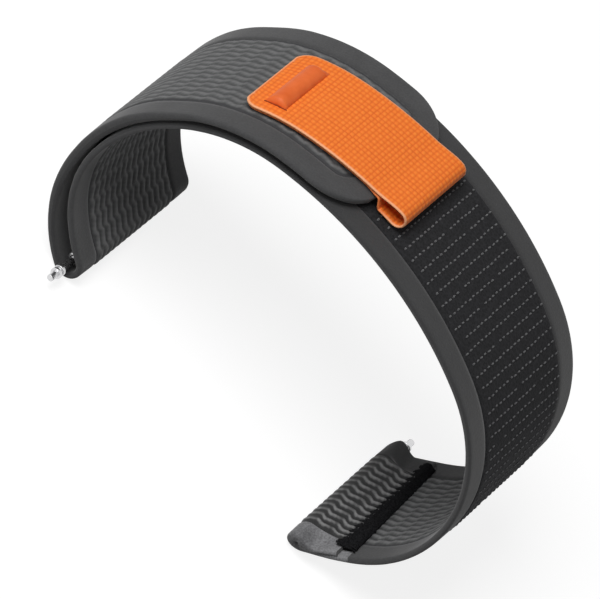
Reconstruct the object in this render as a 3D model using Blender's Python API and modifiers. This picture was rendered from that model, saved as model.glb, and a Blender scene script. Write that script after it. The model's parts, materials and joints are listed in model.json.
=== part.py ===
# Woven hook-and-loop watch strap for 22 mm lugs, standing as an arch on its two folded ends.
# One long strip is bent along a path: it starts as the flap at the right end, folds round the
# right spring bar, runs over the arch, folds round the left spring bar and comes back on top
# of itself as the tail, which carries the hook patch and the pull tab.
# Metres, +Z up, strap width along Y, the arch in the XZ plane.

import math

import bmesh
import bpy
from mathutils import Vector


# The strip: a ribbed centre panel between two thinner, smooth selvedges
strap_width = 0.0224
panel_width = 0.0154
panel_thickness = 0.0010
selvedge_thickness = 0.00086
selvedge_round_run = 0.0003
selvedge_rim_thickness = 0.0005
panel_step_run = 0.0004

# Clearances
lay_gap = 0.00008
flex_gap = 0.0003
left_sleeve_clearance = 0.00017
right_sleeve_clearance = 0.00005

# The arch, from its top down each side as runs of constant radius
top_radius = 0.0430
right_top_run = 0.0182
right_side_radius = 0.0185
right_side_run = 0.0234
right_curl_radius = 0.0167
right_curl_run = 0.0098
right_end_radius = 0.0482
right_leg_run = 0.0574
left_top_run = 0.0127
left_side_radius = 0.0202
left_side_run = 0.0252
left_curl_radius = 0.0139
left_curl_run = 0.0099
left_end_radius = 0.0174
left_leg_run = 0.0539

# Where the strip is cut into the pieces that flex against each other, measured from the top
arm_flex_run = 0.0085
end_flex_run = 0.0340
left_fold_band_run = 0.0045
right_fold_band_run = 0.0100
tail_root_run = 0.0042
tail_curl_left_run = 0.0290

# The flap at the right end, and the seam over its free end
flap_run = 0.0045
flap_edge_close_run = 0.0032
flap_thickness = 0.0008
flap_thinning_run = 0.0040
flap_side_drift = -0.0010
flap_seam_run = 0.0012
flap_seam_width = 0.0190
flap_seam_side = -0.0003
flap_seam_drop = 0.0001
flap_seam_bevel = 0.0003

# The tail
tail_end_left_run = 0.0026
tail_corner_radius = 0.0055
tail_end_border = 0.0030
tail_close_run = 0.0150
tail_climb_start_left_run = 0.0275
tail_climb_run = 0.0060
hook_patch_thickness = 0.00025
hook_patch_width = 0.0160
hook_patch_start_left_run = 0.0210
hook_patch_end_left_run = 0.0050
hook_patch_bevel = 0.00006
tail_side_drift = -0.0004
tail_drift_start_left_run = 0.0450
tail_drift_run = 0.0250

# The pull tab: a narrow webbing doubled into a loop, its fold past the tail's end
tab_width = 0.0128
tab_centre_side = -0.00113
tab_skew_angle = 3.56
tab_ply_thickness = 0.00036
tab_ply_gap = 0.00008
tab_start_left_run = 0.0198
tab_flex_left_run = 0.0038
tab_corner_radius = 0.0018
tab_edge_bevel = 0.00012
tab_fold_right_run = 0.0009
tab_fold_rest_gap = 0.0003
tab_fold_height = 0.0020
tab_step_start_left_run = 0.0025
tab_step_run = 0.0016

# The moulded grip bar on the tab
grip_length = 0.0090
grip_width = 0.0022
grip_height = 0.0009
grip_centre_left_run = 0.0170
grip_centre_side = -0.00024
grip_bevel = 0.0005

# The spring bars: a tube with a sprung plunger in each end
bar_length = 0.0236
tube_length = 0.0140
tube_radius = 0.00078
tube_bore_radius = 0.00064
tube_lip_radius = 0.00050
tube_lip_run = 0.0005
plunger_head_radius = 0.00059
plunger_head_run = 0.0008
plunger_shaft_radius = 0.00042
plunger_flange_radius = 0.00068
plunger_flange_run = 0.00035
plunger_groove_radius = 0.00042
plunger_groove_run = 0.00035
plunger_tip_radius = 0.00042
plunger_tip_run = 0.00115
plunger_edge = 0.00008
left_bar_shift = -0.0028
right_bar_shift = 0.0006
spring_coil_radius = 0.00046
spring_wire_radius = 0.00009
spring_end_gap = 0.00015
spring_turns = 11
spring_points_per_turn = 8

# The folds are pressed flat where the strap stands on them
left_fold_press = 0.00033
right_fold_press = 0.0001

# Fineness of the solids
slice_run = 0.0017
fold_slices = 12
corner_slices = 6
turned_steps = 20
merge_distance = 0.00001

left_fold_radius = tube_radius + left_sleeve_clearance + panel_thickness / 2
right_fold_radius = tube_radius + right_sleeve_clearance + flap_thickness / 2
left_fold_arc_run = math.pi * left_fold_radius
right_fold_arc_run = math.pi * right_fold_radius
layer_pitch = panel_thickness + lay_gap
flap_pitch = (panel_thickness + flap_thickness) / 2 + lay_gap
patch_pitch = layer_pitch + hook_patch_thickness + lay_gap


def arc_chain(side):
    # Runs and radii of one side of the arch, from the top down
    if side > 0:
        side_arcs = [(right_side_run, right_side_radius), (right_curl_run, right_curl_radius)]
        return [(right_top_run, top_radius)] + side_arcs + [(math.inf, right_end_radius)]
    side_arcs = [(left_side_run, left_side_radius), (left_curl_run, left_curl_radius)]
    return [(left_top_run, top_radius)] + side_arcs + [(math.inf, left_end_radius)]


def arch_point(run):
    # Middle of the band, its outward normal and how far it has turned, at a run from the top
    side = 1 if run >= 0 else -1
    left_over = abs(run)
    turned = 0.0
    x = 0.0
    z = 0.0
    for length, radius in arc_chain(side):
        step = min(left_over, length) / radius
        x += radius * (math.sin(turned + step) - math.sin(turned))
        z += radius * (math.cos(turned + step) - math.cos(turned))
        turned += step
        left_over -= min(left_over, length)
        if left_over <= 0:
            break
    point = Vector((side * x, 0, z))
    normal = Vector((side * math.sin(turned), 0, math.cos(turned)))
    return point, normal, turned


def smooth_rise(value, start, length):
    # 0 before start, 1 after start plus length, level at both ends
    share = min(max((value - start) / length, 0.0), 1.0)
    return share * share * (3 - 2 * share)


def tail_lift(run):
    # Height of the tail's middle over the band's, from the fold's width down to a close lay
    from_bar = run + left_leg_run
    closing = 1 - smooth_rise(from_bar, 0.0, tail_close_run)
    climbing = smooth_rise(run, -tail_climb_start_left_run, tail_climb_run)
    close_lay = layer_pitch + (patch_pitch - layer_pitch) * climbing
    return close_lay + (2 * left_fold_radius - layer_pitch) * closing


def tail_drift(run):
    # The tail doesn't lie quite square on the band: its end is a little to the front
    return tail_side_drift * smooth_rise(run, -tail_drift_start_left_run, tail_drift_run)


def flap_drift(past):
    # The flap is sewn down a little to the front of the band
    return flap_side_drift * smooth_rise(past, 0.0, flap_run)


def flap_lift(run, close_run=flap_run):
    # The flap's middle under the band's, from the fold's width to a close lay at its seam
    from_bar = right_leg_run - run
    closing = 1 - smooth_rise(from_bar, 0.0, close_run)
    return flap_pitch + (2 * right_fold_radius - flap_pitch) * closing


def strip_middle(along):
    # The strip's middle line: 0 at the arch's top, positive to the right and round the right fold,
    # negative to the left, round the left fold and back along the tail
    if -left_leg_run <= along <= right_leg_run:
        return arch_point(along)[0]
    if along > 0:
        point, normal, turned = arch_point(right_leg_run)
        past = along - right_leg_run
        centre = point - normal * right_fold_radius
        down = Vector((math.cos(turned), 0, -math.sin(turned)))
        if past < right_fold_arc_run:
            angle = past / right_fold_radius
            return centre + (normal * math.cos(angle) + down * math.sin(angle)) * right_fold_radius
        run = right_leg_run - (past - right_fold_arc_run)
        point, normal, turned = arch_point(run)
        return point - normal * flap_lift(run)
    point, normal, turned = arch_point(-left_leg_run)
    past = -along - left_leg_run
    centre = point + normal * left_fold_radius
    down = Vector((-math.cos(turned), 0, -math.sin(turned)))
    if past < left_fold_arc_run:
        angle = past / left_fold_radius
        return centre + (down * math.sin(angle) - normal * math.cos(angle)) * left_fold_radius
    return tail_middle(past - left_fold_arc_run - left_leg_run)


def tail_middle(run):
    point, normal, turned = arch_point(run)
    return point + normal * tail_lift(run)


def on_line(middle, along, side, height):
    # A point at a place along a middle line, to one side and above it
    probe = merge_distance
    ahead = middle(along + probe) - middle(along - probe)
    normal = Vector((-ahead.z, 0, ahead.x)).normalized()
    return middle(along) + normal * height + Vector((0, side, 0))


bar_left = strip_middle(-left_leg_run) + arch_point(-left_leg_run)[1] * left_fold_radius
bar_right = strip_middle(right_leg_run) - arch_point(right_leg_run)[1] * right_fold_radius
left_foot = bar_left.z - left_fold_radius - panel_thickness / 2 + left_fold_press
right_foot = bar_right.z - right_fold_radius - flap_thickness / 2 + right_fold_press


def stops(start, end, spacing=slice_run):
    count = max(2, math.ceil(abs(end - start) / spacing))
    return [start + (end - start) * i / count for i in range(count + 1)]


def strip_section():
    # Half outline of the strip's cross-section, from the skin side round the edge to the pile side
    half_panel = panel_width / 2
    half_width = strap_width / 2
    foot = half_panel + panel_step_run
    shoulder = half_width - selvedge_round_run
    return [
        (half_panel, panel_thickness / 2),
        (foot, selvedge_thickness / 2),
        (shoulder, selvedge_thickness / 2),
        (half_width, selvedge_rim_thickness / 2),
    ]


def full_section(half):
    # A closed outline, mirrored in the middle and in the width
    top = list(half)
    under = [(y, -z) for y, z in reversed(half)]
    other = [(-y, -z) for y, z in half]
    far = [(-y, z) for y, z in reversed(half)]
    return top + under + other + far


def block_section(width, thickness, bevel):
    half = [(width / 2 - bevel, thickness / 2), (width / 2, thickness / 2 - bevel)]
    return full_section(half)


def new_part(name, mesh, material, pivot):
    # An object whose origin is its pivot's axis, for a mesh made in the strap's own frame
    anchor, home = pivot
    for vertex in mesh.vertices:
        vertex.co -= home
    mesh.materials.append(material)
    part = bpy.data.objects.new(name, mesh)
    part.parent = anchor
    parts_collection.objects.link(part)
    return part


def sweep(name, section, places, shape, material, pivot):
    # Extrudes a section through places along the strip, then bends the blank to shape
    bm = bmesh.new()
    ring = [bm.verts.new((places[0], y, z)) for y, z in section]
    end_face = bm.faces.new(ring)
    for before, after in zip(places, places[1:]):
        grown = bmesh.ops.extrude_face_region(bm, geom=[end_face])["geom"]
        if before != places[0]:
            bmesh.ops.delete(bm, geom=[end_face], context="FACES_ONLY")
        corners = [item for item in grown if isinstance(item, bmesh.types.BMVert)]
        bmesh.ops.translate(bm, verts=corners, vec=(after - before, 0, 0))
        end_face = next(item for item in grown if isinstance(item, bmesh.types.BMFace))
    for vertex in bm.verts:
        vertex.co = shape(*vertex.co)
    bmesh.ops.recalc_face_normals(bm, faces=bm.faces)
    if bm.calc_volume(signed=True) < 0:
        bmesh.ops.reverse_faces(bm, faces=bm.faces)
    mesh = bpy.data.meshes.new(name)
    bm.to_mesh(mesh)
    bm.free()
    return new_part(name, mesh, material, pivot)


def strip_piece(name, start, end, material, pivot):
    def shape(along, side, height):
        return on_line(strip_middle, along, side, height)

    return sweep(name, full_section(strip_section()), stops(start, end), shape, material, pivot)


def fold_places(start, end, fold_start, fold_end):
    # Even stops along the straight runs and close ones round the fold
    round_fold = stops(fold_start, fold_end, abs(fold_end - fold_start) / fold_slices)
    return stops(start, fold_start)[:-1] + round_fold + stops(fold_end, end)[1:]


def flap_thinning(along):
    # The strip is pressed thinner where it goes tightly round the right bar and back as the flap
    thinner = smooth_rise(along, right_leg_run - flap_thinning_run, flap_thinning_run)
    return 1 - (1 - flap_thickness / panel_thickness) * thinner


def flap_edge_drop(along, side):
    # The flap's selvedges come down on the band sooner than its panel does
    past = along - right_leg_run - right_fold_arc_run
    if past <= 0 or abs(side) < (panel_width + panel_step_run) / 2:
        return 0.0
    run = right_leg_run - past
    return flap_lift(run) - flap_lift(run, flap_edge_close_run)


def fold_piece(name, places, foot, material, pivot):
    # What would be lower than the foot is pressed flat at its height
    def shape(along, side, height):
        thinned = height * flap_thinning(along) - flap_edge_drop(along, side)
        place = side + flap_drift(along - right_leg_run - right_fold_arc_run)
        point = on_line(strip_middle, along, place, thinned)
        point.z = max(point.z, foot)
        return point

    return sweep(name, full_section(strip_section()), places, shape, material, pivot)


def rounded_end_stops(end, radius):
    # Places that crowd towards an end with a corner of this radius
    angles = [math.pi / 2 * i / corner_slices for i in range(corner_slices + 1)]
    return [end - radius * (1 - math.sin(angle)) for angle in angles]


def corner_half_width(left, half_width, radius):
    # Half the width at a distance from an end with round corners
    if left >= radius:
        return half_width
    return half_width - radius + math.sqrt(max(radius * radius - (radius - left) ** 2, 0.0))


def make_tail_upper(material, pivot):
    start = -tail_curl_left_run + flex_gap / 2
    end = -tail_end_left_run
    corner_stops = rounded_end_stops(end, tail_corner_radius)
    places = stops(start, corner_stops[0])[:-1] + corner_stops
    half_width = strap_width / 2
    selvedge_width = half_width - panel_width / 2 - panel_step_run

    def shape(along, side, height):
        left = end - along
        half_here = corner_half_width(left, half_width, tail_corner_radius)
        from_edge = half_width - abs(side)
        inner = half_here - min(from_edge, selvedge_width + panel_step_run)
        reach = half_here - from_edge if from_edge <= selvedge_width else min(abs(side), inner)
        if left < tail_end_border:
            limit = selvedge_thickness / 2
            height = math.copysign(min(abs(height), limit), height)
        return on_line(tail_middle, along, math.copysign(reach, side) + tail_drift(along), height)

    return sweep("tail_upper", full_section(strip_section()), places, shape, material, pivot)


def make_hook_patch(material, pivot):
    section = block_section(hook_patch_width, hook_patch_thickness, hook_patch_bevel)
    under_tail = -(panel_thickness + hook_patch_thickness) / 2 - lay_gap

    def shape(along, side, height):
        return on_line(tail_middle, along, side + tail_drift(along), under_tail + height)

    places = stops(-hook_patch_start_left_run, -hook_patch_end_left_run)
    return sweep("hook_patch", section, places, shape, material, pivot)


tab_under_height = patch_pitch + panel_thickness / 2 + lay_gap
tab_thickness = 2 * tab_ply_thickness + tab_ply_gap
tab_base_height = tab_under_height + tab_thickness / 2
tab_top_height = tab_under_height + tab_thickness


def over_band(run, height):
    point, normal, turned = arch_point(run)
    return point + normal * height


def tab_side(run):
    # The tab isn't sewn on quite square: it slants to the back towards its fold
    slant = math.tan(math.radians(tab_skew_angle))
    return tail_drift(run) + tab_centre_side + slant * (run + tab_start_left_run)


def make_tab_base(material, pivot):
    # Both plies pressed together where the tab is fixed to the tail, with round corners at its end
    start = -tab_start_left_run
    end = -tab_flex_left_run - flex_gap / 2
    mirrored_stops = rounded_end_stops(-start, tab_corner_radius)
    corner_stops = [-place for place in reversed(mirrored_stops)]
    places = corner_stops + stops(corner_stops[-1], end)[1:]
    section = block_section(tab_width, tab_thickness, tab_edge_bevel)
    half_width = tab_width / 2

    def shape(along, side, height):
        half_here = corner_half_width(along - start, half_width, tab_corner_radius)
        reach = half_here - (half_width - abs(side))
        place = math.copysign(reach, side) + tab_side(along)
        return over_band(along, tab_base_height + height) + Vector((0, place, 0))

    return sweep("pull_tab_base", section, places, shape, material, pivot)


fold_under_height = panel_thickness / 2 + tab_fold_rest_gap + tab_ply_thickness / 2
fold_over_height = fold_under_height + tab_fold_height
tab_turn_radius = tab_fold_height / 2
tab_turn_run = tab_fold_right_run - tab_turn_radius - tab_ply_thickness / 2
tab_leg_run = tab_turn_run + tab_flex_left_run - flex_gap / 2
tab_turn_arc_run = math.pi * tab_turn_radius


def tab_loop_run(along):
    # The run of the band under a place on the loop
    if along <= tab_leg_run:
        return along - tab_flex_left_run + flex_gap / 2
    past = along - tab_leg_run
    if past < tab_turn_arc_run:
        return tab_turn_run + tab_turn_radius * math.sin(past / tab_turn_radius)
    return tab_turn_run - (past - tab_turn_arc_run)


def tab_loop_middle(along):
    # Lower ply out over the tail's end and down to the band, round the fold and back on top
    run = tab_loop_run(along)
    lower_start = tab_under_height + tab_ply_thickness / 2
    upper_end = tab_top_height - tab_ply_thickness / 2
    if along <= tab_leg_run:
        down = smooth_rise(run, -tab_step_start_left_run, tab_step_run)
        return over_band(run, lower_start + (fold_under_height - lower_start) * down)
    past = along - tab_leg_run
    if past < tab_turn_arc_run:
        height = fold_under_height + tab_turn_radius * (1 - math.cos(past / tab_turn_radius))
        return over_band(run, height)
    up = smooth_rise(-run, -tab_turn_run, tab_leg_run)
    return over_band(run, fold_over_height + (upper_end - fold_over_height) * up)


def make_tab_loop(material, pivot):
    section = block_section(tab_width, tab_ply_thickness, tab_edge_bevel)
    total = 2 * tab_leg_run + tab_turn_arc_run
    places = stops(0.0, total, tab_turn_arc_run / fold_slices)

    def shape(along, side, height):
        probe = merge_distance
        inside = min(max(along, probe), total - probe)
        ahead = tab_loop_middle(inside + probe) - tab_loop_middle(inside - probe)
        normal = Vector((-ahead.z, 0, ahead.x)).normalized()
        place = side + tab_side(tab_loop_run(along))
        return tab_loop_middle(along) + normal * height + Vector((0, place, 0))

    return sweep("pull_tab_loop", section, places, shape, material, pivot)


def make_tab_grip(material, pivot):
    # A low half-round bar across the tab
    bm = bmesh.new()
    bmesh.ops.create_cube(bm, size=1.0)
    bmesh.ops.scale(bm, verts=bm.verts, vec=(grip_width, grip_length, grip_height))
    top_edges = [edge for edge in bm.edges if sum(vertex.co.z for vertex in edge.verts) > 0]
    across = [edge for edge in top_edges if edge.verts[0].co.z > 0 and edge.verts[1].co.z > 0]
    bmesh.ops.bevel(bm, geom=across, offset=grip_bevel, segments=4, profile=0.5, affect="EDGES", material=-1)
    for vertex in bm.verts:
        height = tab_top_height + lay_gap + grip_height / 2 + vertex.co.z
        run = vertex.co.x - grip_centre_left_run
        place = vertex.co.y + grip_centre_side + tab_side(run)
        vertex.co = over_band(run, height) + Vector((0, place, 0))
    mesh = bpy.data.meshes.new("tab_grip_bar")
    bm.to_mesh(mesh)
    bm.free()
    return new_part("tab_grip_bar", mesh, material, pivot)


def make_flap_seam(material, pivot):
    # The sewn ridge that closes the flap's end down on the band's inner face
    flap_end_run = right_leg_run - flap_run
    start = flap_end_run - flex_gap
    inner_face = -panel_thickness / 2 - lay_gap
    ridge_face = -flap_lift(flap_end_run) - flap_thickness / 2 + flap_seam_drop
    thickness = inner_face - ridge_face
    middle = (inner_face + ridge_face) / 2
    section = block_section(flap_seam_width, thickness, flap_seam_bevel)

    def shape(along, side, height):
        place = side + flap_side_drift + flap_seam_side
        return over_band(along, middle + height) + Vector((0, place, 0))

    places = stops(start - flap_seam_run, start)
    return sweep("flap_seam", section, places, shape, material, pivot)


def turn_profile(name, profile, closed, material, pivot, shift):
    # A profile of radius and height turned about Z, then laid along Y
    mesh = bpy.data.meshes.new(name)
    edges = [(i, i + 1) for i in range(len(profile) - 1)]
    if closed:
        edges.append((len(profile) - 1, 0))
    mesh.from_pydata([(radius, 0, height) for radius, height in profile], edges, [])
    mesh.materials.append(material)
    part = bpy.data.objects.new(name, mesh)
    part.parent = pivot[0]
    part.rotation_euler = (-math.pi / 2, 0, 0)
    part.location = (0, shift, 0)
    parts_collection.objects.link(part)
    screw = part.modifiers.new("turn", "SCREW")
    screw.steps = turned_steps
    screw.render_steps = turned_steps
    screw.use_merge_vertices = True
    screw.merge_threshold = merge_distance
    return part


def make_tube(name, material, pivot, shift):
    half = tube_length / 2
    lip = half - tube_lip_run
    profile = [
        (tube_radius, half - plunger_edge),
        (tube_radius, -half + plunger_edge),
        (tube_radius - plunger_edge, -half),
        (tube_lip_radius, -half),
        (tube_lip_radius, -lip),
        (tube_bore_radius, -lip),
        (tube_bore_radius, lip),
        (tube_lip_radius, lip),
        (tube_lip_radius, half),
        (tube_radius - plunger_edge, half),
    ]
    return turn_profile(name, profile, True, material, pivot, shift)


def plunger_profile(front):
    # From the tip to the head inside the tube, for the plunger at +Y, or turned over for -Y
    tip = bar_length / 2
    outer_flange = tip - plunger_tip_run
    groove = outer_flange - plunger_flange_run
    inner_flange = groove - plunger_groove_run
    shaft = inner_flange - plunger_flange_run
    head = tube_length / 2 - tube_lip_run - lay_gap
    tail = head - plunger_head_run
    profile = [
        (0.0, tip),
        (plunger_tip_radius - plunger_edge, tip),
        (plunger_tip_radius, tip - plunger_edge),
        (plunger_tip_radius, outer_flange),
        (plunger_flange_radius, outer_flange),
        (plunger_flange_radius, groove),
        (plunger_groove_radius, groove),
        (plunger_groove_radius, inner_flange),
        (plunger_flange_radius, inner_flange),
        (plunger_flange_radius, shaft),
        (plunger_shaft_radius, shaft),
        (plunger_shaft_radius, head),
        (plunger_head_radius, head),
        (plunger_head_radius, tail),
        (0.0, tail),
    ]
    if front:
        return [(radius, -height) for radius, height in reversed(profile)]
    return profile


def make_spring(name, material, pivot, shift):
    # One unbroken coil between the two plungers' heads
    head_end = tube_length / 2 - tube_lip_run - lay_gap - plunger_head_run
    half = head_end - spring_end_gap - spring_wire_radius
    count = spring_turns * spring_points_per_turn
    curve = bpy.data.curves.new(name, "CURVE")
    curve.dimensions = "3D"
    curve.bevel_depth = spring_wire_radius
    curve.bevel_resolution = 1
    curve.use_fill_caps = True
    curve.materials.append(material)
    line = curve.splines.new("POLY")
    line.points.add(count)
    for i, point in enumerate(line.points):
        angle = 2 * math.pi * i / spring_points_per_turn
        along = -half + 2 * half * i / count
        x = spring_coil_radius * math.cos(angle)
        z = spring_coil_radius * math.sin(angle)
        point.co = (x, along, z, 1)
    part = bpy.data.objects.new(name, curve)
    part.parent = pivot[0]
    part.location = (0, shift, 0)
    parts_collection.objects.link(part)
    return part


def make_bar(side, material, spring_material, pivot, shift):
    make_tube(side + "_bar_tube", material, pivot, shift)
    turn_profile(side + "_bar_back_plunger", plunger_profile(False), False, material, pivot, shift)
    turn_profile(side + "_bar_front_plunger", plunger_profile(True), False, material, pivot, shift)
    make_spring(side + "_bar_spring", spring_material, pivot, shift)


def make_material(name, colour, roughness, metallic=0.0):
    material = bpy.data.materials.new(name)
    material.use_nodes = True
    shader = material.node_tree.nodes["Principled BSDF"]
    shader.inputs["Base Color"].default_value = (*colour, 1.0)
    shader.inputs["Roughness"].default_value = roughness
    shader.inputs["Metallic"].default_value = metallic
    return material


def add_pivot(name, home, parent=None):
    # An empty on a joint's axis, under the pivot that carries it
    empty = bpy.data.objects.new(name, None)
    parent_home = Vector((0, 0, 0))
    if parent:
        empty.parent = parent[0]
        parent_home = parent[1]
    empty.location = home - parent_home
    parts_collection.objects.link(empty)
    return empty, home


def outer_face(middle, along, height):
    return on_line(middle, along, 0.0, height)


def build():
    grey = make_material("grey_nylon_weave", (0.035, 0.036, 0.038), 0.9)
    black = make_material("black_hook_tape", (0.008, 0.008, 0.009), 0.95)
    thread = make_material("black_sewing_thread", (0.010, 0.010, 0.011), 0.85)
    orange = make_material("orange_webbing", (0.90, 0.22, 0.025), 0.75)
    coral = make_material("coral_moulded_rubber", (0.75, 0.17, 0.075), 0.45)
    steel = make_material("polished_stainless_steel", (0.62, 0.62, 0.63), 0.2, 1.0)
    wire = make_material("spring_steel_wire", (0.45, 0.45, 0.47), 0.3, 1.0)

    tail_start = -left_leg_run + tail_root_run
    half_gap = flex_gap / 2
    skin = panel_thickness / 2

    root_home = Vector((0, 0, 0))
    root = add_pivot("strap_frame", root_home)
    peel = add_pivot("tail_peel_axis", outer_face(tail_middle, tail_start, skin), root)
    curl = add_pivot("tail_curl_axis", outer_face(tail_middle, -tail_curl_left_run, skin), peel)
    lift = add_pivot("tab_lift_axis", over_band(-tab_flex_left_run, tab_top_height), curl)
    arm_flex = add_pivot("arm_flex_axis", over_band(arm_flex_run, skin), root)
    end_flex = add_pivot("end_flex_axis", over_band(end_flex_run, skin), arm_flex)
    left_axle = add_pivot("left_bar_axis", bar_left, root)
    right_axle = add_pivot("right_bar_axis", bar_right, end_flex)

    left_split = left_leg_run - left_fold_band_run
    strip_piece("band_middle", -left_split + half_gap, arm_flex_run - half_gap, grey, root)
    fold_start = -left_split - half_gap
    fold_end = -(left_leg_run + left_fold_arc_run + tail_root_run) + half_gap
    left_places = fold_places(fold_start, fold_end, -left_leg_run, -left_leg_run - left_fold_arc_run)
    fold_piece("left_lug_fold", left_places, left_foot, grey, root)

    def tail_shape(along, side, height):
        return on_line(tail_middle, along, side + tail_drift(along), height)

    tail_places = stops(tail_start + half_gap, -tail_curl_left_run - half_gap)
    sweep("tail_lower", full_section(strip_section()), tail_places, tail_shape, grey, peel)
    make_tail_upper(grey, curl)
    make_hook_patch(black, curl)
    make_tab_base(orange, curl)
    make_tab_grip(coral, curl)
    make_tab_loop(orange, lift)

    right_split = right_leg_run - right_fold_band_run
    strip_piece("arm_upper", arm_flex_run + half_gap, end_flex_run - half_gap, grey, arm_flex)
    strip_piece("arm_lower", end_flex_run + half_gap, right_split - half_gap, grey, end_flex)
    fold_turned = right_leg_run + right_fold_arc_run
    flap_end = fold_turned + flap_run
    right_places = fold_places(right_split + half_gap, flap_end, right_leg_run, fold_turned)
    fold_piece("right_lug_fold", right_places, right_foot, grey, end_flex)
    make_flap_seam(thread, end_flex)

    make_bar("left", steel, wire, left_axle, left_bar_shift)
    make_bar("right", steel, wire, right_axle, right_bar_shift)

    settle(root[0])


def settle(frame):
    # Centres the whole strap over the origin, standing on the ground
    bpy.context.view_layer.update()
    depsgraph = bpy.context.evaluated_depsgraph_get()
    corners = []
    for part in parts_collection.objects:
        if part.type == "EMPTY":
            continue
        evaluated = part.evaluated_get(depsgraph)
        mesh = evaluated.to_mesh()
        corners += [evaluated.matrix_world @ vertex.co for vertex in mesh.vertices]
        evaluated.to_mesh_clear()
    low = [min(corner[axis] for corner in corners) for axis in range(3)]
    high = [max(corner[axis] for corner in corners) for axis in range(3)]
    frame.location = (-(low[0] + high[0]) / 2, -(low[1] + high[1]) / 2, -low[2])
    bpy.context.view_layer.update()
    for part in parts_collection.objects:
        if part.type == "EMPTY":
            place = part.matrix_world.translation
            print(part.name, [round(value, 6) for value in place])


for leftover in list(bpy.data.objects):
    bpy.data.objects.remove(leftover)

parts_collection = bpy.data.collections.new("watch_strap")
bpy.context.scene.collection.children.link(parts_collection)
build()
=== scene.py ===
import json
import math

import bmesh
import bpy
from mathutils import Matrix, Vector, noise


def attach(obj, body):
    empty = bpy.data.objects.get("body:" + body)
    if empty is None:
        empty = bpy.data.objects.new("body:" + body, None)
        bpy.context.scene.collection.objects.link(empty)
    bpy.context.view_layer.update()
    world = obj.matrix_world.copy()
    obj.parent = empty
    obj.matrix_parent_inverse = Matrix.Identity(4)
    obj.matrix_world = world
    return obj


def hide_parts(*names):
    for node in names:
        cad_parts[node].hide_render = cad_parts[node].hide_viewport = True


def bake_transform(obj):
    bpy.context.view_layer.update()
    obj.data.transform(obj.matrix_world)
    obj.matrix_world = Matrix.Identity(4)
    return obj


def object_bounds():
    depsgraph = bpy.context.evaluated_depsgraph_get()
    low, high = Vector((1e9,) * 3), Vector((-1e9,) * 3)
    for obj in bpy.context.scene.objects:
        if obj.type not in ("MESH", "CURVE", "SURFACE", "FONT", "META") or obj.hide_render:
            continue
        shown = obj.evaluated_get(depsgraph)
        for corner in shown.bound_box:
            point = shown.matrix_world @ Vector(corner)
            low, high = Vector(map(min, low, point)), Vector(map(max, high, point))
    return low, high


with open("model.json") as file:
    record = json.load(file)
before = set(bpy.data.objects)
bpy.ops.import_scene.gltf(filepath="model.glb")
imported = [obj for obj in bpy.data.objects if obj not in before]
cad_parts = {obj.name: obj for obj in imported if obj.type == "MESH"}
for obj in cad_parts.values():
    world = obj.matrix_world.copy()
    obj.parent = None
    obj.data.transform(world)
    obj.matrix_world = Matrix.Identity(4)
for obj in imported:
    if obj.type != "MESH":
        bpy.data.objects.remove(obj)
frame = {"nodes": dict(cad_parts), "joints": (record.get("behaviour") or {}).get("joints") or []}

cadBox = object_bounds()
noise.seed_set(1)                 # without a seed, noise_vector would differ from run to run
pivots = {joint["name"]: Vector(joint["pos_m"]) for joint in frame["joints"] if "pos_m" in joint}
mm = 0.001
weld = 0.000001                   # points that lie nearer to each other than this are merged

# The woven strip, in metres: a ribbed panel between two smooth selvedges
strip = {
    "width": 0.0224,
    "panelWidth": 0.0154,
    "panelThickness": 0.0010,
    "selvedgeThickness": 0.00086,
    "selvedgeFall": 0.00006,      # how much thinner a selvedge is at its rim than at the panel
    "selvedgeCurve": 1.5,
    "grainAlong": 0.0005,         # the felt's lumps on a selvedge
    "grainSide": 0.0004,
    "grainDepth": 0.000008,
    "rimRun": 0.0003,
    "rimTip": 0.25,               # share of the thickness that is left at the tail's very end
    "stepRun": 0.0004,
    "edgeSink": 0.6,              # share of the ribs' depth that they may sink beside a selvedge
    "grooveRun": 0.00016,         # the dark line where the ribs end and the selvedge begins
    "grooveDepth": 0.00013,
    "ribCount": 14,
    "columnsPerRib": 8,
    "selvedgeColumns": 8,
    "rimColumns": 4,
    "stepColumns": 5,
    "stationRun": 0.00025,
    "ribDepth": 0.00019,
    "tailRibDepth": 0.00017,
    "tailCrownFoot": 0.15,
    "tailCrownRise": 0.72,
    "tailValley": 0.8,            # the tail's outermost rib is lower than the others
    "valleyPlace": 0.00015,
    "valleyRun": 0.00025,
    "flapRibDepth": 0.00034,
    "flapFlat": 0.75,             # how much shallower the flap's ribs are next to the fold
    "flapFlatRun": 0.0015,
    "crestPower": 0.75,
    "dip": 0.28,                  # how deep a rib dips between two floats
    "dipPhase": 1.9,
    "waveRun": 0.0020,            # one wave of a rib along the strip
    "waveReach": 0.00017,
    "waveSkew": 0.32,
    "driftRun": 0.004,            # over this run a rib falls out of step with the next
    "driftPhase": 1.2,
    "driftReach": 0.5,
    "pileGrain": 0.00035,
    "pileDepth": 0.00007,
}

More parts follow.
